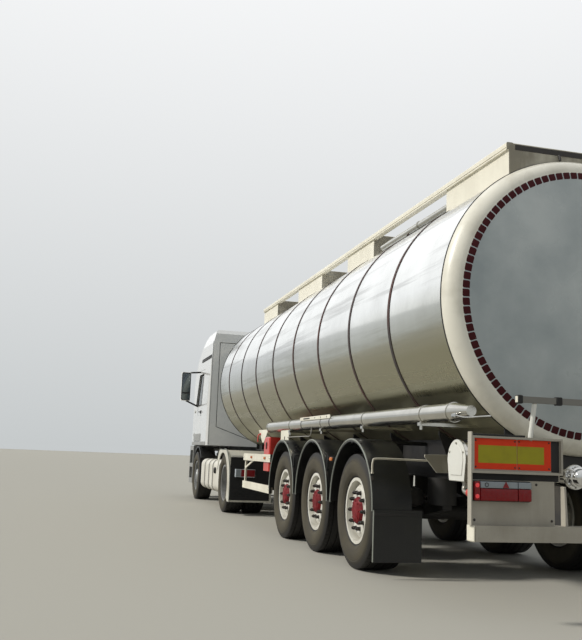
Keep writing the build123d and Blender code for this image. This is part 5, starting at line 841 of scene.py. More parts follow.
def pillow(outline, back, face, bulge=0.0035):
    """Domed lens: the outline shrinks over a quarter circle towards its face along X."""
    turn = np.linspace(0, math.pi / 2, 5)
    middle = (outline.min(0) + outline.max(0)) / 2
    half = np.ptp(outline, axis=0) / 2
    ring = np.concatenate([outline, outline[:1]])
    rows = [(middle + ring * 0, back), (ring, back)]
    for angle in turn:
        scale = 1 - bulge * (1 - np.cos(angle)) / half
        rows.append((middle + (ring - middle) * scale, face + bulge * (1 - np.sin(angle))))
    rows.append((middle + ring * 0, face))
    return skin(np.stack([aligned(row[:, 0], row[:, 1], place, "X") for row, place in rows]))


def lamp_lens(y_low, y_high, z_low, z_high, round_mm=5):
    """Rectangular lens of the rear lamp."""
    return pillow(upright(y_low, y_high, z_low, z_high, round_mm), LAMP_BASE, LENS_FACE)


housing = plate_x(0.84, 1.26, 0.76, 0.892, LAMP_BACK, LAMP_BACK - LAMP_BASE, 12, 0.003)
made = both("rear_lamp_housings", trim_dark, "lamp_red", housing)
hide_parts("tail_lamps")
for name, heights, finish, slot in (("clear", HIGH_STRIP, lens_clear, "lamp_clear"),
                                    ("red", LOW_STRIP, lens_red, "lamp_red")):
    both(f"rear_lamp_{name}_strips", finish, slot, lamp_lens(0.845, 0.94, *heights),
         lamp_lens(0.945, 1.212, *heights))
both("rear_lamp_ends", lens_red, "lamp_red", lamp_lens(1.216, 1.256, 0.765, 0.887, 8))
spots = [lathe([(0, LENS_FACE - 0.0012), (0.012, LENS_FACE - 0.001), (0.017, LENS_FACE + 0.0015),
                (0.017, LENS_FACE + 0.004), (0, LENS_FACE + 0.004)], (0, 1.236, z), "X", 20)
         for z in (0.862, 0.792)]
both("rear_lamp_brake_lights", lens_lit, "lamp_red", *spots)
edges = cut(around(3, 0.028, (1.032, 0.862), math.pi / 2), 8)
reflector = prism(edges, LENS_FACE - 0.0025, LENS_FACE + 0.001, "X", 0.001)
both("rear_lamp_triangles", lens_red, "lamp_red", reflector)
bezel = lathe([(0.01, LENS_FACE - 0.0022), (0.013, LENS_FACE - 0.0025), (0.015, LENS_FACE),
               (0.01, LENS_FACE), (0.01, LENS_FACE - 0.0022)], (0, 1.17, 0.866), "X", 20)
both("rear_lamp_rings", trim_dark, "lamp_red", bezel)
print("lamp is", round(LAMP_BACK - LENS_FACE, 3), "m deep")

# %% [markdown]
# Behind the marker board the light plate is screwed to the bumper. Its small parts are
# what the eye reads as scale: screw heads, clamps on the guard bar, bright upright posts,
# pale end caps on the bumper, dark rubbers round the tray, dark sheets of painted shadow
# under and beside it, and a blank number plate.
# %% Small parts of the rear end
posts = level("X", -7.02, [(0.8365, 1.181), (0.8365, 1.19), (0.806, 1.395), (0.806, 1.405)])
posts = sweep(posts, 0.0165, 12, (1, 0, 0))
both("guard_bar_posts", cap_white, "cap_paint", posts)
clamp = box_part((-7.042, 0.9, 1.404), (-6.998, 0.938, 1.462), 0.005)
bracket = box_part((-7.04, 0.602, 1.405), (-6.999, 0.648, 1.461), 0.004)
both("guard_bar_clamps", rubber_seal, "guard_plastic", clamp, bracket)
bar_end = box_part((-7.0365, 0.9352, 1.411), (-7.0035, 0.9385, 1.455), 0.002)
end_caps = box_part((-7.0498, 1.2505, 0.503), (-6.947, 1.262, 0.61), 0.006)
both("bumper_end_caps", cream, "cream_paint", end_caps, bar_end)
plate_screws = [(LAMP_BACK, y, z) for y, z in ((0.785, 0.874), (0.672, 0.64), (1.235, 0.64))]
both("light_plate_screws", nut_black, "band_dark", copies(screw_head(0.009), plate_screws))
# Painted shadow: a dark sheet under the board's tray, and a dark sheet for the tray's inner side with its
# shadow.
shadow_gap = plate_x(0.618, 1.252, 0.897, 0.938, LAMP_BACK, 0.0012)
tray_side_and_shadow = plate_x(0.628, 0.688, 0.958, 1.162, BOARD_FACE, 0.001)
tray_bar = box_part((-7.03, 0.88, 1.1803), (-6.998, 1.252, 1.1935), 0.002)
both("tray_rubbers_and_shadows", rubber_seal, "guard_plastic", shadow_gap, tray_side_and_shadow, tray_bar)
number_plate = plate_x(-0.26, 0.26, 0.63, 0.742, -6.952, 0.003, 10)
hanger = box_part((-6.9518, -0.2, 0.606), (-6.946, 0.2, 0.7), 0.002)
piece("blank_number_plate", [number_plate], cap_white, "trailer")
piece("number_plate_hanger", [hanger], chassis_black, "trailer")
print("screws on each light plate", len(plate_screws))

# %% [markdown]
# Long trailers wear rubber on the edge of each mudguard. It is an extruded strip, pushed
# over the edge, so a round bar bent to the guard's circle gives its look. The guards hang
# on bent rods from the frame, and the rods' ends are plugged.
# %% Mudguard edges, rods and flaps
GUARD_Z, GUARD_EDGE_R, CLIP_R = 0.57, 0.598, 0.608
sweep_angle = np.linspace(-0.02, math.pi + 0.02, 90)
strips, rods, rods_in_painted_shade, clips = [], [], [], []
for x in BOGIE:
    arc = np.stack([x + GUARD_EDGE_R * np.cos(sweep_angle), np.full(90, 1.2575),
                    GUARD_Z + GUARD_EDGE_R * np.sin(sweep_angle)], -1)
    strips.append(sweep(arc, 0.0095, 10, (0, 1, 0)))
    for dx in (-0.526, 0.526):
        rod = bent([(x + dx, 0.516, 1.0), (x + dx, 0.9, 1.0), (x + dx, 1.19, 1.0),
                    (x + dx, 1.236, 0.975), (x + dx, 1.24, 0.88)], 0.03)
        # All rods but one are dark copies: the same cream rod in painted shade.
        here = rods if x == BOGIE[0] and dx < 0 else rods_in_painted_shade
        here.append(sweep(rod, 0.009, 10, (1, 0, 0)))
        here.append(lathe([(0, 0), (0.014, 0), (0.014, 0.012), (0, 0.012)], (x + dx, 1.24, 0.872), "Z",
                          16))
    for angle in (0.45, 1.2, 1.95, 2.7):
        clip = box_part((-0.022, 1.236, -0.004), (0.022, 1.262, 0.006), 0.003)
        spot = (x + CLIP_R * math.cos(angle), 0, GUARD_Z + CLIP_R * math.sin(angle))
        clips.append(copies(clip, [spot], turns("Y", np.array([math.pi / 2 - angle]))))
both("mudguard_edges", guard_edge, "guard_plastic", *strips)
both("mudguard_rods", cream, "cream_paint", *rods)
both("mudguard_rods_in_painted_shade", guard_black, "guard_plastic", *rods_in_painted_shade)
both("mudguard_clips", nut_black, "guard_plastic", *clips)
flap_x = BOGIE[0] - 0.6 - 0.008
flap_edge = box_part((flap_x - 0.014, 1.249, 0.137), (flap_x + 0.01, 1.2545, 0.565), 0.002)
flap_bar = box_part((flap_x - 0.018, 0.815, 0.52), (flap_x - 0.0122, 1.249, 0.545), 0.002)
both("flap_edges", guard_edge, "guard_plastic", flap_edge)
both("flap_bars", chassis_black, "plate_grey", flap_bar)
gusset = np.array([(0.5085, 1.06), (0.968, 1.05), (0.968, 1.03), (0.862, 0.906), (0.767, 0.906),
                   (0.5085, 0.96)])
both("rear_gussets", cream, "cream_paint", prism(cut(gusset, 6), -5.606, -5.598, "X", 0.001))
print("mudguard strips", 2 * len(strips))

# %% [markdown]
# The long tubes on both sides are lockers for hoses. They are rolled stainless sheet with
# joint bands, a rear door with a lug and a locking rod, and beside them a perforated
# plate that lets them drain and dry.
# %% Hose tube fittings
TUBE_Y, TUBE_Z, TUBE_R = 1.1, 1.36, 0.07


def tube_band(x, width=0.016, proud=0.003):
    """Rolled joint band on the tube, with its edges turned down."""
    half = width / 2
    return lathe([(TUBE_R - 0.002, x - half), (TUBE_R + proud * 0.6, x - half),
                  (TUBE_R + proud, x - half * 0.5), (TUBE_R + proud, x + half * 0.5),
                  (TUBE_R + proud * 0.6, x + half), (TUBE_R - 0.002, x + half),
                  (TUBE_R - 0.002, x - half)], (0, TUBE_Y, TUBE_Z), "X", 40)


both("hose_tube_joints", nut_black, "band_dark", *[tube_band(x) for x in (-2.48, -3.582, -5.906)])
plate = prism(rounded(1.18, 0.038, 0.01, (-3.03, 1.4175)), 1.1665, 1.1705, "Y", 0.001)
both("hose_tube_plates", cream, "cream_paint", plate)
# Each hole is a dark disc on the plate: painted shade where the hole would be.
hole_shades = [prism(around(20, 0.011, (x, 1.4175)), 1.17, 1.1712, "Y", 0.0003) for x in (-3.5, -3.28, -3.06)]
hole_shades.append(prism(rounded(0.26, 0.016, 0.0079, (-2.72, 1.4175)), 1.17, 1.1712, "Y", 0.0003))
both("hose_tube_plate_hole_shades", nut_black, "band_dark", *hole_shades)
feet = [box_part((x - 0.02, 1.148, 1.392), (x + 0.02, 1.1668, 1.402), 0.002) for x in (-3.58, -2.48)]
lug = box_part((-6.585, 1.148, 1.315), (-6.52, 1.176, 1.345), 0.006)
rod = sweep(bent([(-6.575, 1.165, 1.33), (-6.7, 1.152, 1.312), (-6.86, 1.118, 1.314),
                  (-6.955, 1.096, 1.316)], 0.03), 0.005)
both("hose_tube_door_parts", chrome, "pipe_steel", lug, rod, *feet)
CLAMP_X = [round(-6.42 + 0.5 + i * 1.34, 3) for i in range(4)]
bolts = [prism(around(6, 0.011, (x, 1.14)), 1.294, 1.312, "Z", 0.001) for x in CLAMP_X]
both("hose_tube_bolts", bright_zinc, "pipe_steel", *bolts)
print("clamps on each tube", len(CLAMP_X))

# %% [markdown]
# Along the side hang small brackets and levers that work the trailer's valves: a plate
# with a hole, a thin pull rod, a triangular bracket with a red lever, and amber side
# markers on short arms.
# %% Brackets, levers and side markers


def plate_y(outline, y, thick=0.005, bevel=0.001):
    """Thin upright plate that faces sideways, from an outline in X and Z."""
    return prism(cut(outline, 6), y, y + thick, "Y", bevel)


hanger_plate = plate_y([(-1.82, 1.3), (-1.42, 1.3), (-1.42, 1.175), (-1.5, 1.15), (-1.74, 1.15),
                        (-1.82, 1.175)], 1.135)
triangle_plate = plate_y([(-0.7, 1.33), (-0.1, 1.33), (-0.16, 1.29), (-0.36, 1.15), (-0.44, 1.15)],
                         1.135)
# The hole is a dark disc on the plate: painted shade.
hole_shade = prism(around(24, 0.022, (-1.62, 1.205)), 1.1398, 1.1412, "Y", 0.0003)
pull_rod = sweep(bent([(-2.86, 1.145, 1.314), (-2.83, 1.15, 1.225), (-2.6, 1.15, 1.217),
                       (-1.9, 1.15, 1.214), (-1.8, 1.1455, 1.212)], 0.03), 0.006)
arms = [box_part((x - 0.03, 0.716, 1.3), (x + 0.03, 1.1352, 1.326), 0.003) for x in (-0.62, -0.18)]
both("valve_brackets", cream, "cream_paint", hanger_plate, triangle_plate, *arms)
both("valve_bracket_hole_shades", nut_black, "band_dark", hole_shade)
both("pull_rods", bright_zinc, "pipe_steel", pull_rod)
pivot = lathe([(0, 0.01), (0.016, 0.01), (0.018, 0.006), (0.018, -0.002), (0, -0.002)],
              (-0.235, 1.142, 1.27), "Y", 20)
handle = sweep(bent([(-0.235, 1.15, 1.27), (-0.232, 1.172, 1.255), (-0.238, 1.18, 1.2),
                     (-0.246, 1.18, 1.158)], 0.02), 0.009, 12, (1, 0, 0))
both("valve_levers", box_red, "red_plastic", pivot, handle)
amber = [prism(rounded(0.085, 0.034, 0.012, (x, z)), y, y + 0.014, "Y", 0.004)
         for x, y, z in ((-3.935, 1.238, 0.976), (-1.034, 1.2503, 0.94), (-0.2, 1.2503, 0.94))]
marker_arm = box_part((-3.95, 0.516, 0.962), (-3.92, 1.236, 0.99), 0.004)
marker_base = prism(rounded(0.098, 0.046, 0.012, (-3.935, 0.976)), 1.228, 1.2385, "Y", 0.003)
both("side_marker_lenses", lens_amber, "lamp_clear", *amber)
both("side_marker_arms", rubber_seal, "guard_plastic", marker_arm, marker_base)
print("side markers", 2 * len(amber))

# %% [markdown]
# The planks of the side guard are extruded aluminium with pressed grooves, held by bolts
# to their posts. Grooves and end caps catch the light as fine lines.
# %% Side guard trim
lines = [box_part((-1.338, 1.2502, z + dz), (0.378, 1.253, z + dz + 0.005), 0.0012)
         for z in (0.49, 0.89) for dz in (0.022, 0.074)]
caps = [box_part((x0, 1.2245, z - 0.001), (x1, 1.2525, z + 0.101), 0.003)
        for z in (0.49, 0.89) for x0, x1 in ((-1.348, -1.338), (0.378, 0.388))]
plank_bolts = [prism(around(6, 0.012, (x, z)), 1.25, 1.258, "Y", 0.0015)
               for x in (-1.305, 0.345) for z in (0.54, 0.94)]
both("plank_lines", cream, "cream_paint", *lines)
both("plank_end_caps", rubber_seal, "guard_plastic", *caps)
both("plank_bolts", bright_zinc, "plate_grey", *plank_bolts)
box_latch = box_part((-1.02, 1.225, 1.06), (-0.97, 1.233, 1.15), 0.003)
both("red_box_latches", rubber_seal, "red_plastic", box_latch)
print("plank lines", 2 * len(lines))

# %% [markdown]
# The fat cross tube behind the last wheels ends in an enamelled shield with a raised rim.
# Below it hangs a small drain with a red cap. At the rear middle the outlet has a chrome
# coupling, whose cap is held by two cam levers.
# %% Rear pipes
SHIELD_X, SHIELD_Z, SHIELD_R, SHIELD_Y = -6.61, 1.016, 0.145, 1.17


def shield_outline(grow):
    """Round head over a tapered flat foot: a half circle above, straight sides to the foot."""
    angle = np.linspace(0, math.pi, 25)
    radius = SHIELD_R + grow
    head = np.stack([SHIELD_X + radius * np.cos(angle), SHIELD_Z + radius * np.sin(angle)], -1)
    foot = [(SHIELD_X + way * 0.82 * radius, SHIELD_Z - radius) for way in (-1, 1)]
    return np.concatenate([head, foot])


face = prism(shield_outline(-0.004), SHIELD_Y + 0.0003, SHIELD_Y + 0.004, "Y", 0.001)
raised = prism(shield_outline(-0.04), SHIELD_Y + 0.0035, SHIELD_Y + 0.009, "Y", 0.003)
both("shield_faces", cap_white, "cap_paint", face, raised)
SHIELD_BOLT_R = 0.118
bolt_places = [(SHIELD_X + SHIELD_BOLT_R * math.cos(a), SHIELD_Z + SHIELD_BOLT_R * math.sin(a))
               for a in (0.5, 1.57, 2.64)]
shield_bolts = [prism(around(6, 0.009, spot), SHIELD_Y + 0.003, SHIELD_Y + 0.011, "Y", 0.001)
                for spot in bolt_places]
both("shield_bolts", bright_zinc, "pipe_steel", *shield_bolts)
drain = np.array([(0, 1.105, 0.895), (0, 1.105, 0.85), (-0.01, 1.115, 0.815), (-0.05, 1.122, 0.8),
                  (-0.1, 1.122, 0.798)])
drain = sweep(bent(drain + [SHIELD_X, 0, 0], 0.02), 0.019, 16, (0, 1, 0))
drain_ring = lathe([(0, 0), (0.03, 0), (0.032, 0.004), (0.032, 0.018), (0.03, 0.022), (0, 0.022)],
                   (SHIELD_X, 1.105, 0.866), "Z", 24)
both("tube_drains", bright_zinc, "pipe_steel", drain, drain_ring)
cap = lathe([(0, -0.03), (0.02, -0.03), (0.027, -0.026), (0.029, -0.004), (0.029, 0.004), (0, 0.004)],
            (SHIELD_X - 0.1, 1.122, 0.798), "X", 24)
both("drain_caps", box_red, "red_plastic", cap)
OUTLET_X, OUTLET_Y, OUTLET_Z = -6.87, 0.4, 0.93
coupling = lathe([(0, -0.098), (0.03, -0.098), (0.052, -0.092), (0.06, -0.08), (0.06, -0.05),
                  (0.068, -0.046), (0.068, -0.03), (0.056, -0.026), (0.056, -0.01), (0.082, -0.008),
                  (0.082, 0.0), (0, 0.0)], (OUTLET_X - 0.0003, OUTLET_Y, OUTLET_Z), "X", 48)
levers = []
for angle in (0.6, math.pi + 0.6):
    cam = [(OUTLET_X + dx, OUTLET_Y + reach * math.cos(angle), OUTLET_Z + reach * math.sin(angle))
           for dx, reach in ((-0.062, 0.06), (-0.07, 0.085), (-0.02, 0.094))]
    levers.append(sweep(bent(cam, 0.02), 0.006))
flange_ring = around(8, 0.07)
nuts = copies(prism(around(6, 0.011), -0.022, -0.007, "X", 0.0015),
              level("X", OUTLET_X, flange_ring + [OUTLET_Y, OUTLET_Z]))
piece("outlet_coupling", [coupling, nuts] + levers, chrome, "trailer")
print("coupling reaches", round(OUTLET_X - 0.098, 3))

# %% [markdown]
# On top, each manhole is held shut by swing bolts round its flange, and carries a small
# breather valve and a handle. The walking plates between the boxes have raised bars across
# them for grip. These are small forms turned round the neck or repeated along the plate.
# %% Manholes and walking plates
NECK_TOP, TANK_LENGTH, TREAD_TOP = 3.4723, 9.47, 3.4676
BOXES = ((-6.331, 1.14), (-3.28, 0.93), (-1.25, 1.22), (1.27, 0.99))
shank = sweep([(0, 0, 0.002), (0, 0, 0.02), (0, 0, 0.045)], 0.007, 10, (1, 0, 0))
swing = gather([prism(around(6, 0.012), 0.02, 0.034, "Z", 0.002), shank])
for i, (start, length) in enumerate(BOXES):
    x = start + length / 2
    places = around(6, 0.245, (x, 0), math.pi / 6)
    bolts = copies(swing, level("Z", NECK_TOP, places))
    vent = lathe([(0, 0), (0.05, 0), (0.05, 0.006), (0.034, 0.009), (0.034, 0.014), (0.046, 0.017),
                  (0.044, 0.023), (0, 0.025)], (x, 0.085, NECK_TOP + 0.03), "Z", 32)
    grip = [(-0.12, 0.03), (-0.118, 0.04), (-0.1, 0.048), (0, 0.048), (0.1, 0.048), (0.118, 0.04),
            (0.12, 0.03)]
    grip = sweep(bent(level("Y", -0.07, np.array(grip) + [x, NECK_TOP]), 0.012), 0.006)
    piece(f"manhole_fittings_{i + 1}", [bolts, vent, grip], bright_zinc, f"lid_{i + 1}")
bars = []
for (start, length), (ahead, _) in zip(BOXES, BOXES[1:]):
    places = np.arange(start + length + 0.05, ahead - 0.05, 0.06)
    bar_part = box_part((-0.006, -0.225, 0), (0.006, 0.225, 0.005), 0.002)
    bars.append(copies(bar_part, np.column_stack([places, np.zeros(len(places)),
                                                  np.full(len(places), TREAD_TOP)])))
piece("tread_bars", bars, cream, "trailer")
hook = level("Y", 0.155, [(-6.337, 3.47), (-6.347, 3.45), (-6.349, 3.4), (-6.341, 3.362)])
hook = sweep(bent(hook, 0.02), 0.01)
# Painted shade: a dark strip along the top of the box's rear wall, on the cross rail's rear face.
rail_shade_strip = box_part((-6.3335, -0.545, 3.472), (-6.3305, 0.545, 3.516), 0.001)
piece("box_hook_and_rail_shade", [hook, rail_shade_strip], nut_black, "trailer")
bead = np.arange(13) * 2 * math.pi / 12
for name, x in (("rear", REAR_SEAM), ("front", REAR_SEAM + TANK_LENGTH)):
    ring = lathe(np.column_stack([1.1752 + 0.006 * np.cos(bead), 0.006 * np.sin(bead)]),
                 (x, 0, TANK_Z), "X", 180)
    piece(f"{name}_seam_bead", [ring], rubber_seal, "trailer")
print("grip bars", sum(len(part[0]) for part in bars) // len(bar_part[0]))

# %% [markdown]
# The drive axle's guards are moulded in a pale plastic, and behind each hangs a black
# rubber flap from a clamped strip. The tail lamps of the tractor sit behind it.
# %% Flaps and lamps of the tractor
flap = box_part((1.3525, 0.6, 0.24), (1.3595, 1.253, 0.948), 0.003)
ribs = [box_part((1.3495, 0.64, z), (1.353, 1.215, z + 0.01), 0.0015) for z in (0.3, 0.34, 0.38, 0.42)]
both("drive_flaps", flap_black, "guard_plastic", flap, *ribs, body="tractor")
strip = box_part((1.347, 0.6, 0.92), (1.353, 1.256, 0.946), 0.002)
stay = [box_part((1.359, y, 0.915), (1.46, y + 0.03, 0.94), 0.002) for y in (0.66, 1.18)]
both("drive_flap_strips", cap_white, "wing_plastic", strip, *stay, body="tractor")
edge = level("Y", 1.2565, [(1.362, 0.215), (1.37, 0.52), (1.45, 0.8), (1.74, 1.027), (2.07, 1.029),
                           (2.4, 1.027), (2.548, 0.902)])
both("drive_guard_edges", guard_edge, "wing_plastic", sweep(bent(edge, 0.05), 0.008, 10, (0, 1, 0)),
     body="tractor")


def tractor_lens(y_low, y_high):
    """One cell of the tractor's tail lamp."""
    outline = rounded(y_high - y_low, 0.11, 0.006, ((y_low + y_high) / 2, 0.67))
    return pillow(outline, 1.312, 1.3075, 0.002)


both("tractor_tail_lenses", lens_red, "lamp_clear", tractor_lens(0.858, 1.085), body="tractor")
both("tractor_tail_lens_ends", lens_clear, "lamp_clear", tractor_lens(1.092, 1.172), body="tractor")
print("flap height", round(0.948 - 0.24, 3))

# %% [markdown]
# The fuel tanks are held down by dark steel straps with rubber under them, and each has a
# ribbed filler cap. A strap follows the tank's rounded outline a few millimetres proud. The
# bright deck plate behind the cab has bars for grip.
# %% Fuel tank straps and caps
FUEL_REAR, FUEL_Y, FUEL_Z = 2.71, 0.885, 0.565
straps = []
for start in (0.6, 1.02, 1.5):
    for half, proud in ((0.033, 0.0068), (0.026, 0.0085)):
        outline = rounded(0.63 + 2 * proud, 0.57 + 2 * proud, 0.12 + proud, (FUEL_Y, FUEL_Z), 8)
        middle = FUEL_REAR + start + 0.03
        straps.append(prism(outline, middle - half, middle + half, "X", 0.0015))
both("fuel_tank_straps", chassis_black, "frame_paint", *straps, body="tractor")
angle = np.linspace(0, 2 * math.pi, 97)[:, None]
profile = np.array([(0, 0.034), (0.7, 0.034), (0.92, 0.031), (1.0, 0.024), (1.0, 0.004), (0.8, 0.0),
                    (0, 0.0)])
swell = 1 + 0.035 * (profile[None, :, 0] > 0.95) * np.sign(np.cos(24 * angle))
radius = profile[None, :, 0] * 0.052 * swell
filler = skin(aligned(radius * np.cos(angle), radius * np.sin(angle), profile[None, :, 1], "Y")
              + np.array([3.05, 1.2, 0.66]))
both("fuel_caps", rubber_seal, "frame_paint", filler, body="tractor")
deck = box_part((3.02, -0.42, 0.9005), (3.9, 0.42, 0.914), 0.003)
deck_bars = copies(box_part((-0.006, -0.4, 0), (0.006, 0.4, 0.004), 0.0015),
                   np.column_stack([np.arange(3.06, 3.88, 0.05), np.zeros(17), np.full(17, 0.9138)]))
piece("deck_plate", [deck, deck_bars], bright_zinc, "tractor")
print("straps", len(straps))

# %% [markdown]
# A cab door is sealed with rubber. The window's seal is a soft lip round the opening, the
# handle is a moulded bow in a shallow dish, and the lower edge of the cab and door is
# covered by a dark plastic sill. Dark sleeves cover the mirror's arms, and two panes sit in
# its rim. The skin leans in above the waist, so one function gives its place sideways from
# its height.
# %% Door and side trim


def skin_y(z):
    """Sideways place of the cab's skin: upright to the waist, then drawn in along two straight leans."""
    return np.interp(z, [1.0, 1.95, 2.75, 3.2], [1.15, 1.15, 1.118, 1.085])


def on_side(points, proud=0.0):
    """Points in X and Z laid on the cab's side skin."""
    points = np.array(points, float)
    return np.stack([points[:, 0], skin_y(points[:, 1]) + proud, points[:, 1]], -1)


def outline_path(corners, step=0.02):
    """Closed run of points along straight sides."""
    corners = np.array(corners, float)
    runs = []
    for a, b in zip(corners, np.roll(corners, -1, 0)):
        count = max(2, int(np.linalg.norm(b - a) / step))
        runs.append(np.linspace(a, b, count, endpoint=False))
    return np.concatenate(runs + [corners[:1]])


window = [(5.52, 1.95), (6.235, 1.95), (6.065, 2.61), (5.52, 2.61)]
seal = sweep(on_side(outline_path(window), -0.002), 0.0085, 10, (0, 1, 0))
handle = [(5.475, 1.15, 1.8), (5.48, 1.176, 1.8), (5.52, 1.186, 1.801), (5.58, 1.187, 1.802),
          (5.625, 1.178, 1.803), (5.632, 1.15, 1.803)]
handle = sweep(bent(handle, 0.01), 0.0095, 12)
dish = prism(rounded(0.19, 0.075, 0.03, (5.553, 1.8)), 1.1495, 1.1515, "Y", 0.001)
lock = lathe([(0, 0.004), (0.011, 0.004), (0.013, 0.002), (0.013, -0.001), (0, -0.001)],
             (5.553, 1.151, 1.735), "Y", 20)
door_sill = box_part((5.436, 1.149, 1.196), (6.324, 1.159, 1.35), 0.005)
sleeves = [sweep(level("X", 6.01, run), 0.0175, 14, (1, 0, 0))
           for run in ([(1.152, 1.9352), (1.28, 1.9912), (1.41, 2.048)],
                       [(1.123, 2.6782), (1.24, 2.6677), (1.345, 2.6583)])]
panes = [prism(rounded(0.172, high, 0.03, (1.4375, z)), 5.9445, 5.9515, "X", 0.002)
         for high, z in ((0.405, 2.43), (0.13, 2.135))]
rim = prism(rounded(0.196, 0.6, 0.038, (1.4375, 2.355)), 5.948, 5.958, "X", 0.004)
for side, way in SIDES.items():
    for name, parts, finish, slot in (
            ("mirror_sleeves", sleeves, trim_dark, "trim_plastic"),
            ("window_seal", [seal], rubber_seal, "trim_plastic"),
            ("door_handle", [handle, dish, lock], trim_dark, "trim_plastic"),
            ("door_sill", [door_sill], bumper_grey, "trim_plastic"),
            ("mirror_panes", panes, mirror_glass, "glass"),
            ("mirror_rims", [rim], trim_dark, "trim_plastic")):
        parts = parts if way > 0 else [other_side(part) for part in parts]
        piece(f"{name}_{side}", parts, finish, f"{side}_door")
# Painted shadow: a dark strip under the roof's edge stands for the shadow it casts on the cab side.
roof_shadow_outline = cut([(1.1045, 2.878), (1.1165, 2.878), (1.1115, 2.946), (1.0995, 2.946)], 4)
roof_shadow_strip = prism(roof_shadow_outline, 4.76, 5.956, "X", 0.002)
sill = box_part((4.79, 1.149, 1.112), (6.56, 1.158, 1.182), 0.005)
both("cab_roof_shadow_strips", trim_dark, "trim_plastic", roof_shadow_strip, body="cab")
both("cab_sills", bumper_grey, "trim_plastic", sill, body="cab")
print("mirror panes", 2 * len(panes))

# %% [markdown]
# The front of a cab-over is a flat windscreen over a grille. Wipers, marker lamps above the
# visor, step grips and lines on the grille give it its scale. The wiper blades lie on the
# glass: a point on the screen is its foot plus a share of the way up, moved out along the
# screen's normal.
# %% Front details
SCREEN_FOOT = np.array([6.936, 0.0, 2.005])
SCREEN_UP = np.array([-0.352, 0.0, 0.82])
SCREEN_OUT = np.array([0.919, 0.0, 0.394])


def on_screen(y, share, proud):
    """Point on the windscreen: foot + share of its height, moved out by proud metres."""
    return SCREEN_FOOT + SCREEN_UP * share + SCREEN_OUT * proud + np.array([0, y, 0])


blades, arms = [], []
for pivot, tip in ((0.62, 0.02), (-0.06, -0.66)):
    ends = zip(np.linspace(pivot - 0.06, tip, 12), np.linspace(0, 1, 12))
    blades.append(sweep([on_screen(y, 0.06 + 0.05 * t, -0.01) for y, t in ends], 0.008, 8))
    arms.append(sweep(bent([on_screen(pivot, -0.035, -0.004), on_screen(pivot - 0.04, 0.0, 0.012),
                            on_screen((pivot + tip) / 2, 0.085, 0.006)], 0.03), 0.009, 8))
    arms.append(lathe([(0, 0.012), (0.02, 0.01), (0.024, 0.0), (0.024, -0.02), (0, -0.02)],
                      on_screen(pivot, -0.035, 0.0), "X", 20))
piece("wipers", blades + arms, rubber_seal, "cab")
screen_corners = [(-0.955, 0.005), (0.955, 0.005), (0.955, 0.995), (-0.955, 0.995)]
seal_path = np.array([on_screen(y, share, -0.016) for y, share in outline_path(screen_corners, 0.04)])
piece("windscreen_seal", [sweep(seal_path, 0.01, 8, (1, 0, 0.3))], rubber_seal, "cab")
roof_lamps = [prism(rounded(0.11, 0.032, 0.012, (y, 2.982)), 6.425, 6.478, "X", 0.004)
              for y in (-0.8, -0.38, 0.38, 0.8)]
piece("roof_marker_lamps", roof_lamps, lens_amber, "cab")
grips = copies(box_part((6.37, 0, 0), (6.755, 0.01, 0.005), 0.0015),
               [(0, y, z) for z in (0.4003, 0.7203) for y in np.arange(0.975, 1.135, 0.024)])
both("step_grips", bright_zinc, "bumper_plastic", grips, body="tractor")
slats = copies(box_part((7.0395, -0.715, 0), (7.0448, 0.715, 0.006), 0.0015),
               [(0, 0, 1.1 + 0.13 * i + 0.032) for i in range(6)])
piece("grille_lines", [slats], bright_zinc, "cab")
print("roof marker lamps", len(roof_lamps))

# %% [markdown]
# The cab's rear wall is pressed with a line round its middle, and sheet edges meet along
# its corners. The pressed line is drawn dark as painted shade in its crease, and sealer in
# the corner joint shows dark on a pale wall. Each is a thin bar laid along the line.
# %% Rear wall lines
CAB_REAR = 4.7
# The pressed line is a dark bar: painted shade in its crease.
press = [(0.953, 1.484), (0.953, 3.193), (-0.953, 3.193), (-0.953, 1.484), (-0.286, 1.257),
         (0.286, 1.257)]
press = outline_path(level("X", CAB_REAR + 0.0025, press))
joint = level("X", CAB_REAR + 0.0015, [(1.092, 1.13), (1.092, 2.2), (1.092, 3.22)])
wall_lines = [sweep(press, 0.0045, 8, (1, 0, 0))] + pair(sweep(joint, 0.0035, 8, (1, 0, 0)))
piece("rear_wall_lines", wall_lines, rubber_seal, "cab")
print("pressed line", len(press), "points")

# %% [markdown]
# Over each steered wheel sits a black moulded spray guard. It covers only the top of the
# tyre, because the wheel has to turn under it, and it is an arc of a thin ring with its
# edges turned down, on a stay from the chassis.
# %% Guards over the steered wheels
STEER_GUARD_R = 0.6
section = np.array([(-0.02, 0.842), (0.004, 0.84), (0.005, 0.85), (0.005, 1.135), (0.003, 1.145),
                    (-0.022, 1.147), (-0.022, 1.142), (-0.002, 1.138), (0, 0.85), (-0.02, 0.846),
                    (-0.02, 0.842)])
section += [STEER_GUARD_R, 0]
middle = np.column_stack([np.full(11, STEER_GUARD_R), np.full(11, 0.99)])
swing = np.linspace(math.radians(38), math.radians(142), 41)[:, None]
rows = np.concatenate([middle[None], np.repeat(section[None], 41, 0), middle[None]])
swing = np.concatenate([swing[:1], swing, swing[-1:]])
guard = skin(aligned(rows[..., 0] * np.cos(swing), rows[..., 0] * np.sin(swing), rows[..., 1], "Y")
             + np.array([STEER_X, 0, TRACTOR_R]))
stay = level("X", STEER_X, [(0.435, 0.82), (0.448, 1.0), (0.49, 1.058), (0.6, 1.068), (0.86, 1.07)])
stay = sweep(bent(stay, 0.03), 0.013, 10, (1, 0, 0))
both("steer_guards", guard_black, "guard_plastic", guard, body="tractor")
both("steer_guard_stays", chassis_black, "frame_paint", stay, body="tractor")
print("guard covers", round(math.degrees(float(swing[-1, 0] - swing[0, 0]))), "degrees")

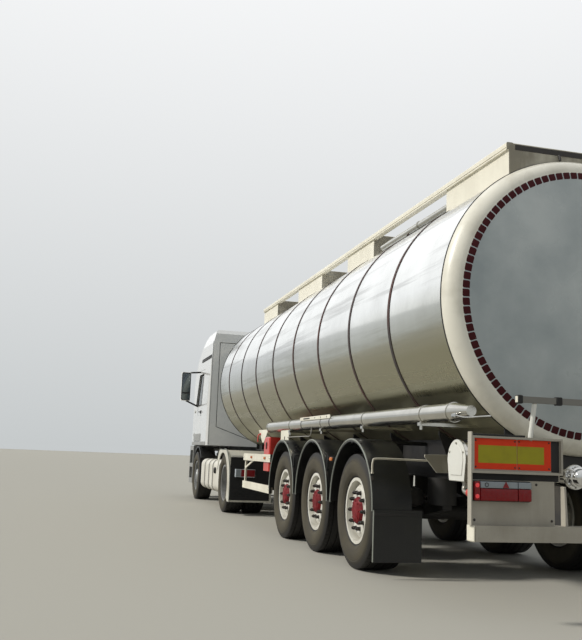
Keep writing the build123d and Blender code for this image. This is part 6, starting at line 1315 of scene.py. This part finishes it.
# %% [markdown]
# Under the trailer each axle has two brake chambers: pressed steel pots in two halves, held
# by a clamp ring, on brackets over the axle. They show from below and between the wheels.
# The crank of the landing legs hangs at the left.
# %% Brake chambers
pot = lathe([(0, -0.17), (0.035, -0.168), (0.075, -0.15), (0.085, -0.12), (0.086, -0.075),
             (0.095, -0.073), (0.095, -0.058), (0.086, -0.056), (0.083, -0.02), (0.06, -0.004),
             (0, 0.0)], (0, 0, 0), "X", 32)
rod = sweep([(0.0, 0, 0), (0.01, 0, 0), (0.09, 0, 0)], 0.01, 10)
bracket = box_part((-0.008, -0.055, -0.1), (0.008, 0.055, 0.06), 0.004)
places = [(x - 0.02, way * 0.665, 0.665) for x in BOGIE for way in (1, -1)]
piece("brake_chambers", [copies(gather([pot, rod, bracket]), places)], axle_black, "trailer")
crank = level("X", 0.46, [(0.705, 0.62), (0.745, 0.62), (0.76, 0.6), (0.762, 0.5), (0.775, 0.48),
                          (0.84, 0.478)])
crank = sweep(bent(crank, 0.02), 0.009, 10, (1, 0, 0))
piece("leg_crank", [crank], chassis_black, "trailer")
print("brake chambers", len(places))

# %% [markdown]
# Seats and the bunk are padded cloth. Real upholstery is cut from flat panels and pulled
# over foam, so it bulges between its seams. The way there is a cloth simulation: a slightly
# small closed form is remeshed into even squares, blown up a little by pressure, and held
# where it rests. The stitched channels are pressed in afterwards, because the remesh would
# lose them: each point sinks along the pad's depth by a narrow bell curve of its distance
# from the stitch line.
# %% Upholstery cloth
# Woven cloth: matt, with a soft light at its edges. Real threads are under 1 mm apart, too
# fine to show, so these are 4 mm apart.
THREAD_MM = 4.0
seat_cloth, shader = material("woven_seat_cloth", roughness=0.92, sheen_weight=0.35,
                              specular_ior_level=0.25)
threads = [waves(seat_cloth, axis, THREAD_MM) for axis in "XYZ"]
weave = compute(seat_cloth, "ADD", compute(seat_cloth, "MULTIPLY", *threads[:2]), threads[2])
worn = span(seat_cloth, cloud(seat_cloth, 160, detail=5.0), 0.35, 0.7, 0.0, 1.0)
tone = blend_colour(seat_cloth, worn, linear("#34373D"), linear("#4A4C50"))
dark = blend_colour(seat_cloth, span(seat_cloth, weave, -1.5, 1.5, 0.0, 0.35), tone, linear("#1C1D20"))
join(seat_cloth, dark, shader, "Base Color")
relief(seat_cloth, shader, weave, 0.5)
scene = bpy.context.scene
print("thread spacing", THREAD_MM, "mm")

# %% Padded pieces by simulation
PRESSURE, SIM_FRAMES, STITCH_WIDTH = 4.0, 20, 0.007


def baked(made):
    """Replaces an object's mesh by its evaluated one and clears its modifiers."""
    graph = bpy.context.evaluated_depsgraph_get()
    mesh = bpy.data.meshes.new_from_object(made.evaluated_get(graph), depsgraph=graph)
    made.modifiers.clear()
    made.data = mesh


def mesh_points(mesh):
    """All vertex places of a mesh as an array."""
    points = np.empty(len(mesh.vertices) * 3)
    mesh.vertices.foreach_get("co", points)
    return points.reshape(-1, 3)


def pad(name, part, voxel_mm, cap_mm, stitches, rest_below):
    """Pad: remesh, inflate by cloth pressure with its moves capped, press in the stitches, smooth once."""
    made = piece(name, [part], seat_cloth, "cab")
    remesh = made.modifiers.new("even", "REMESH")
    remesh.mode = "VOXEL"
    remesh.voxel_size = voxel_mm * MM
    baked(made)
    start = mesh_points(made.data)
    held = made.vertex_groups.new(name="held")
    held.add(np.flatnonzero(start[:, 2] < rest_below).tolist(), 1.0, "REPLACE")
    cloth = made.modifiers.new("cloth", "CLOTH")
    cloth.settings.use_pressure = True
    cloth.settings.uniform_pressure_force = PRESSURE
    cloth.settings.vertex_group_mass = "held"
    cloth.settings.effector_weights.gravity = 0.0
    for step in range(1, SIM_FRAMES + 1):
        scene.frame_set(step)
    baked(made)
    moved = mesh_points(made.data) - start
    size = np.linalg.norm(moved, axis=1, keepdims=True)
    start = start + moved * np.minimum(1.0, cap_mm * MM / np.maximum(size, 1e-9))
    scene.frame_set(1)
    middle = (start.min(0) + start.max(0)) / 2
    for axis, place, along, depth_mm in stitches:
        bell = np.exp(-((start[:, axis] - place) / STITCH_WIDTH) ** 2)
        start[:, along] -= np.sign(start[:, along] - middle[along]) * depth_mm * MM * bell
    made.data.vertices.foreach_set("co", start.ravel())
    made.data.update()
    made.data.shade_smooth()
    made.vertex_groups.clear()
    smooth = made.modifiers.new("soften", "SUBSURF")
    smooth.levels = smooth.render_levels = 1
    return made


def cushion_part(low, high, radius):
    """Rounded block with soft edges all round, as the start of a pad."""
    low, high = np.array(low, float), np.array(high, float)
    size = high - low
    outline = rounded(size[0], size[1], radius, ((low + high) / 2)[:2], 8)
    return prism(outline, low[2], high[2], "Z", min(radius, size[2] * 0.45))


def leaned(part, foot_z, lean):
    """Part leaned to the rear: X falls by a share of the height above the foot."""
    points, faces = part
    points = points.copy()
    points[:, 0] -= (points[:, 2] - foot_z) * lean
    return points, faces


FOOT_Z, LEAN = 1.895, 0.055
interior = []
for label, y in (("driver", 0.6), ("mate", -0.6)):
    base = cushion_part((5.635, y - 0.236, 1.765), (6.115, y + 0.236, 1.872), 0.04)
    back = leaned(cushion_part((5.632, y - 0.226, 1.895), (5.728, y + 0.226, 2.29), 0.035), FOOT_Z,
                  LEAN)
    rest = leaned(cushion_part((5.636, y - 0.14, 2.315), (5.716, y + 0.14, 2.495), 0.03), FOOT_Z, LEAN)
    for name, part, voxel_mm, cap_mm, stitches, rest_below in (
            ("seat", base, 10, 14, ((1, y - 0.14, 2, 9), (1, y + 0.14, 2, 9), (0, 5.86, 2, 7)), 1.775),
            ("seat_back", back, 10, 12, ((1, y - 0.14, 0, 8), (1, y + 0.14, 0, 8), (2, 2.08, 0, 7)),
             1.9),
            ("head_rest", rest, 8, 9, ((2, 2.4, 0, 5),), 2.318)):
        interior.append(pad(f"{name}_{label}", part, voxel_mm, cap_mm, stitches, rest_below))
mattress = cushion_part((4.768, -0.982, 1.835), (5.384, 0.982, 1.93), 0.035)
stitches = [(1, y, 2, 7) for y in (-0.6, -0.2, 0.2, 0.6)]
interior.append(pad("bunk_mattress", mattress, 17, 12, stitches, 1.84))
print("padded pieces", len(interior), "faces", sum(len(made.data.polygons) for made in interior))

# %% [markdown]
# The rest of the cabin is hard: pedestals, a bunk box with two lids, a dash with a hood
# over the dials, and a steering wheel with four spokes. The wheel's rim is a ring swept
# round a tilted circle.
# %% Hard parts of the cabin
pedestals = []
for y in (0.6, -0.6):
    pedestals.append(cushion_part((5.705, y - 0.175, 1.4004), (6.0, y + 0.175, 1.762), 0.03))
    pedestals.append(leaned(cushion_part((5.622, y - 0.205, 1.79), (5.645, y + 0.205, 2.3), 0.01),
                            FOOT_Z, LEAN))
    pedestals += [sweep([(5.64, y + dy, 2.27), (5.637, y + dy, 2.3), (5.632, y + dy, 2.36)], 0.008)
                  for dy in (-0.06, 0.06)]
bunk = [box_part((4.7515, -0.998, 1.4004), (5.398, 0.998, 1.832), 0.012)]
bunk += [box_part((5.3965, y, 1.47), (5.402, y + 0.84, 1.78), 0.004) for y in (-0.9, 0.06)]
dash_line = cut([(6.622, 1.4005), (6.858, 1.4005), (6.858, 1.87), (6.8, 1.925), (6.64, 1.948),
                 (6.6, 1.935), (6.575, 1.88), (6.58, 1.82), (6.64, 1.72)], 5)
dash = prism(dash_line, -0.985, 0.985, "Y", 0.01)
hood_line = cut([(6.56, 1.9), (6.7, 1.9), (6.7, 1.985), (6.59, 2.0)], 5)
hood = prism(hood_line, 0.4, 0.8, "Y", 0.015)
piece("cabin_shells", pedestals + bunk, trim_dark, "cab")
piece("cabin_dash", [dash, hood], bumper_grey, "cab")
WHEEL_R, WHEEL_RIM, WHEEL_LEAN = 0.215, 0.0145, math.radians(50)
wheel_middle = np.array([6.35, 0.6, 1.96])
axis_dir = np.array([-math.sin(WHEEL_LEAN), 0, math.cos(WHEEL_LEAN)])
across = np.array([0.0, 1.0, 0.0])
upward = np.cross(axis_dir, across)


def on_wheel(radius, angle, height=0.0):
    """Point on the steering wheel: middle + radius (cos, sin) in its plane + height along its axis."""
    return (wheel_middle + radius * (np.cos(angle)[..., None] * across
                                     + np.sin(angle)[..., None] * upward) + height * axis_dir)


ring = sweep(on_wheel(WHEEL_R, np.linspace(0, 2 * math.pi + 0.02, 73)), WHEEL_RIM, 14, axis_dir)
spokes = []
for angle in (0.35, math.pi - 0.35, math.pi + 0.6, -0.6):
    spoke = [on_wheel(r, np.array(angle), -0.006) for r in (0.03, 0.12, 0.208)]
    spokes.append(sweep(spoke, (0.014, 0.011, 0.009), 10, axis_dir))
boss = [wheel_middle - axis_dir * 0.03, wheel_middle, wheel_middle + axis_dir * 0.012]
boss = sweep(boss, (0.05, 0.055, 0.045), 24, (0, 1, 0))
column = sweep([wheel_middle - axis_dir * 0.01, (6.45, 0.6, 1.86), (6.6, 0.6, 1.76)], 0.028, 16,
               (0, 1, 0))
wheel = piece("steering_wheel", [ring, boss, column] + spokes, rubber_seal, "cab")
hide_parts("cab_interior")
print("steering wheel", round(2 * (WHEEL_R + WHEEL_RIM), 2), "m across")

# %% [markdown]
# The lorry stands on a plain pale floor under soft daylight. One wide sun lamp from the
# left stands for the low sun in the photograph, and a pale sky fills the shadows. Metal
# shows whatever surrounds it, so the sky that metal and the camera see has its own
# brightness: white overhead and a little greyer near the horizon. A photographer lights a
# polished tank with a large soft panel, and one stands far ahead here: its reflection is
# the bright upper half of the tank, with a sharp lower edge.
# %% Floor and light
FLOOR_HALF = 120.0
floor_mesh = bpy.data.meshes.new("floor")
floor_corners = [(x * FLOOR_HALF, y * FLOOR_HALF, 0) for x, y in ((-1, -1), (1, -1), (1, 1), (-1, 1))]
floor_mesh.from_pydata(floor_corners, [], [(0, 1, 2, 3)])
floor = bpy.data.objects.new("floor", floor_mesh)
bpy.context.scene.collection.objects.link(floor)
made, shader = material("floor_paint", roughness=0.9, specular_ior_level=0.1,
                        base_color=linear("#ABA89E"))
floor_mesh.materials.append(made)

SUN_STRENGTH, SUN_WIDTH, SUN_COLOUR = 2.9, math.radians(8), (1.0, 0.97, 0.92)
sun_data = bpy.data.lights.new("sun", "SUN")
sun_data.energy = SUN_STRENGTH
sun_data.angle = SUN_WIDTH
sun_data.color = SUN_COLOUR
sun = bpy.data.objects.new("sun", sun_data)
bpy.context.scene.collection.objects.link(sun)
SUN_FROM = Vector((0.1, 0.8, 0.62))
sun.rotation_euler = SUN_FROM.to_track_quat("Z", "Y").to_euler()
PANEL_ACROSS, PANEL_UP, PANEL_GLOW, PANEL_PLACE = 90.0, 58.0, 0.32, (112.0, 19.0, 51.0)
panel_data = bpy.data.lights.new("soft_panel", "AREA")
panel_data.shape = "RECTANGLE"
panel_data.size, panel_data.size_y = PANEL_ACROSS, PANEL_UP
panel_data.energy = math.pi * PANEL_ACROSS * PANEL_UP * PANEL_GLOW
panel = bpy.data.objects.new("soft_panel", panel_data)
panel.location = PANEL_PLACE
panel.rotation_euler = Vector((1.0, 0.0, 0.0)).to_track_quat("Z", "Y").to_euler()
panel.visible_camera = False
bpy.context.scene.collection.objects.link(panel)

SKY_STRENGTH = 0.62
world = bpy.data.worlds.new("sky")
bpy.context.scene.world = world
world.use_nodes = True
sky = world.node_tree
sky.nodes.clear()
shade = span(world, where_at(world, "Z", "Generated"), 0.0, 0.55, 0.0, 1.0)
seen = blend_colour(world, shade, linear("#C6CACB"), linear("#F8F9FA"))
lit = add(world, "ShaderNodeBackground", {"Color": linear("#E4EAF0"), "Strength": SKY_STRENGTH})[0]
shown = add(world, "ShaderNodeBackground", {"Color": seen, "Strength": 1.0})[0]
path = add(world, "ShaderNodeLightPath", {})
direct = compute(world, "ADD", path["Is Camera Ray"], path["Is Glossy Ray"])
direct = compute(world, "ADD", direct, path["Is Transmission Ray"], use_clamp=True)
surface = add(world, "ShaderNodeMixShader", {0: direct, 1: lit, 2: shown})[0]
add(world, "ShaderNodeOutputWorld", {"Surface": surface})
bpy.context.scene.view_settings.view_transform = "Standard"
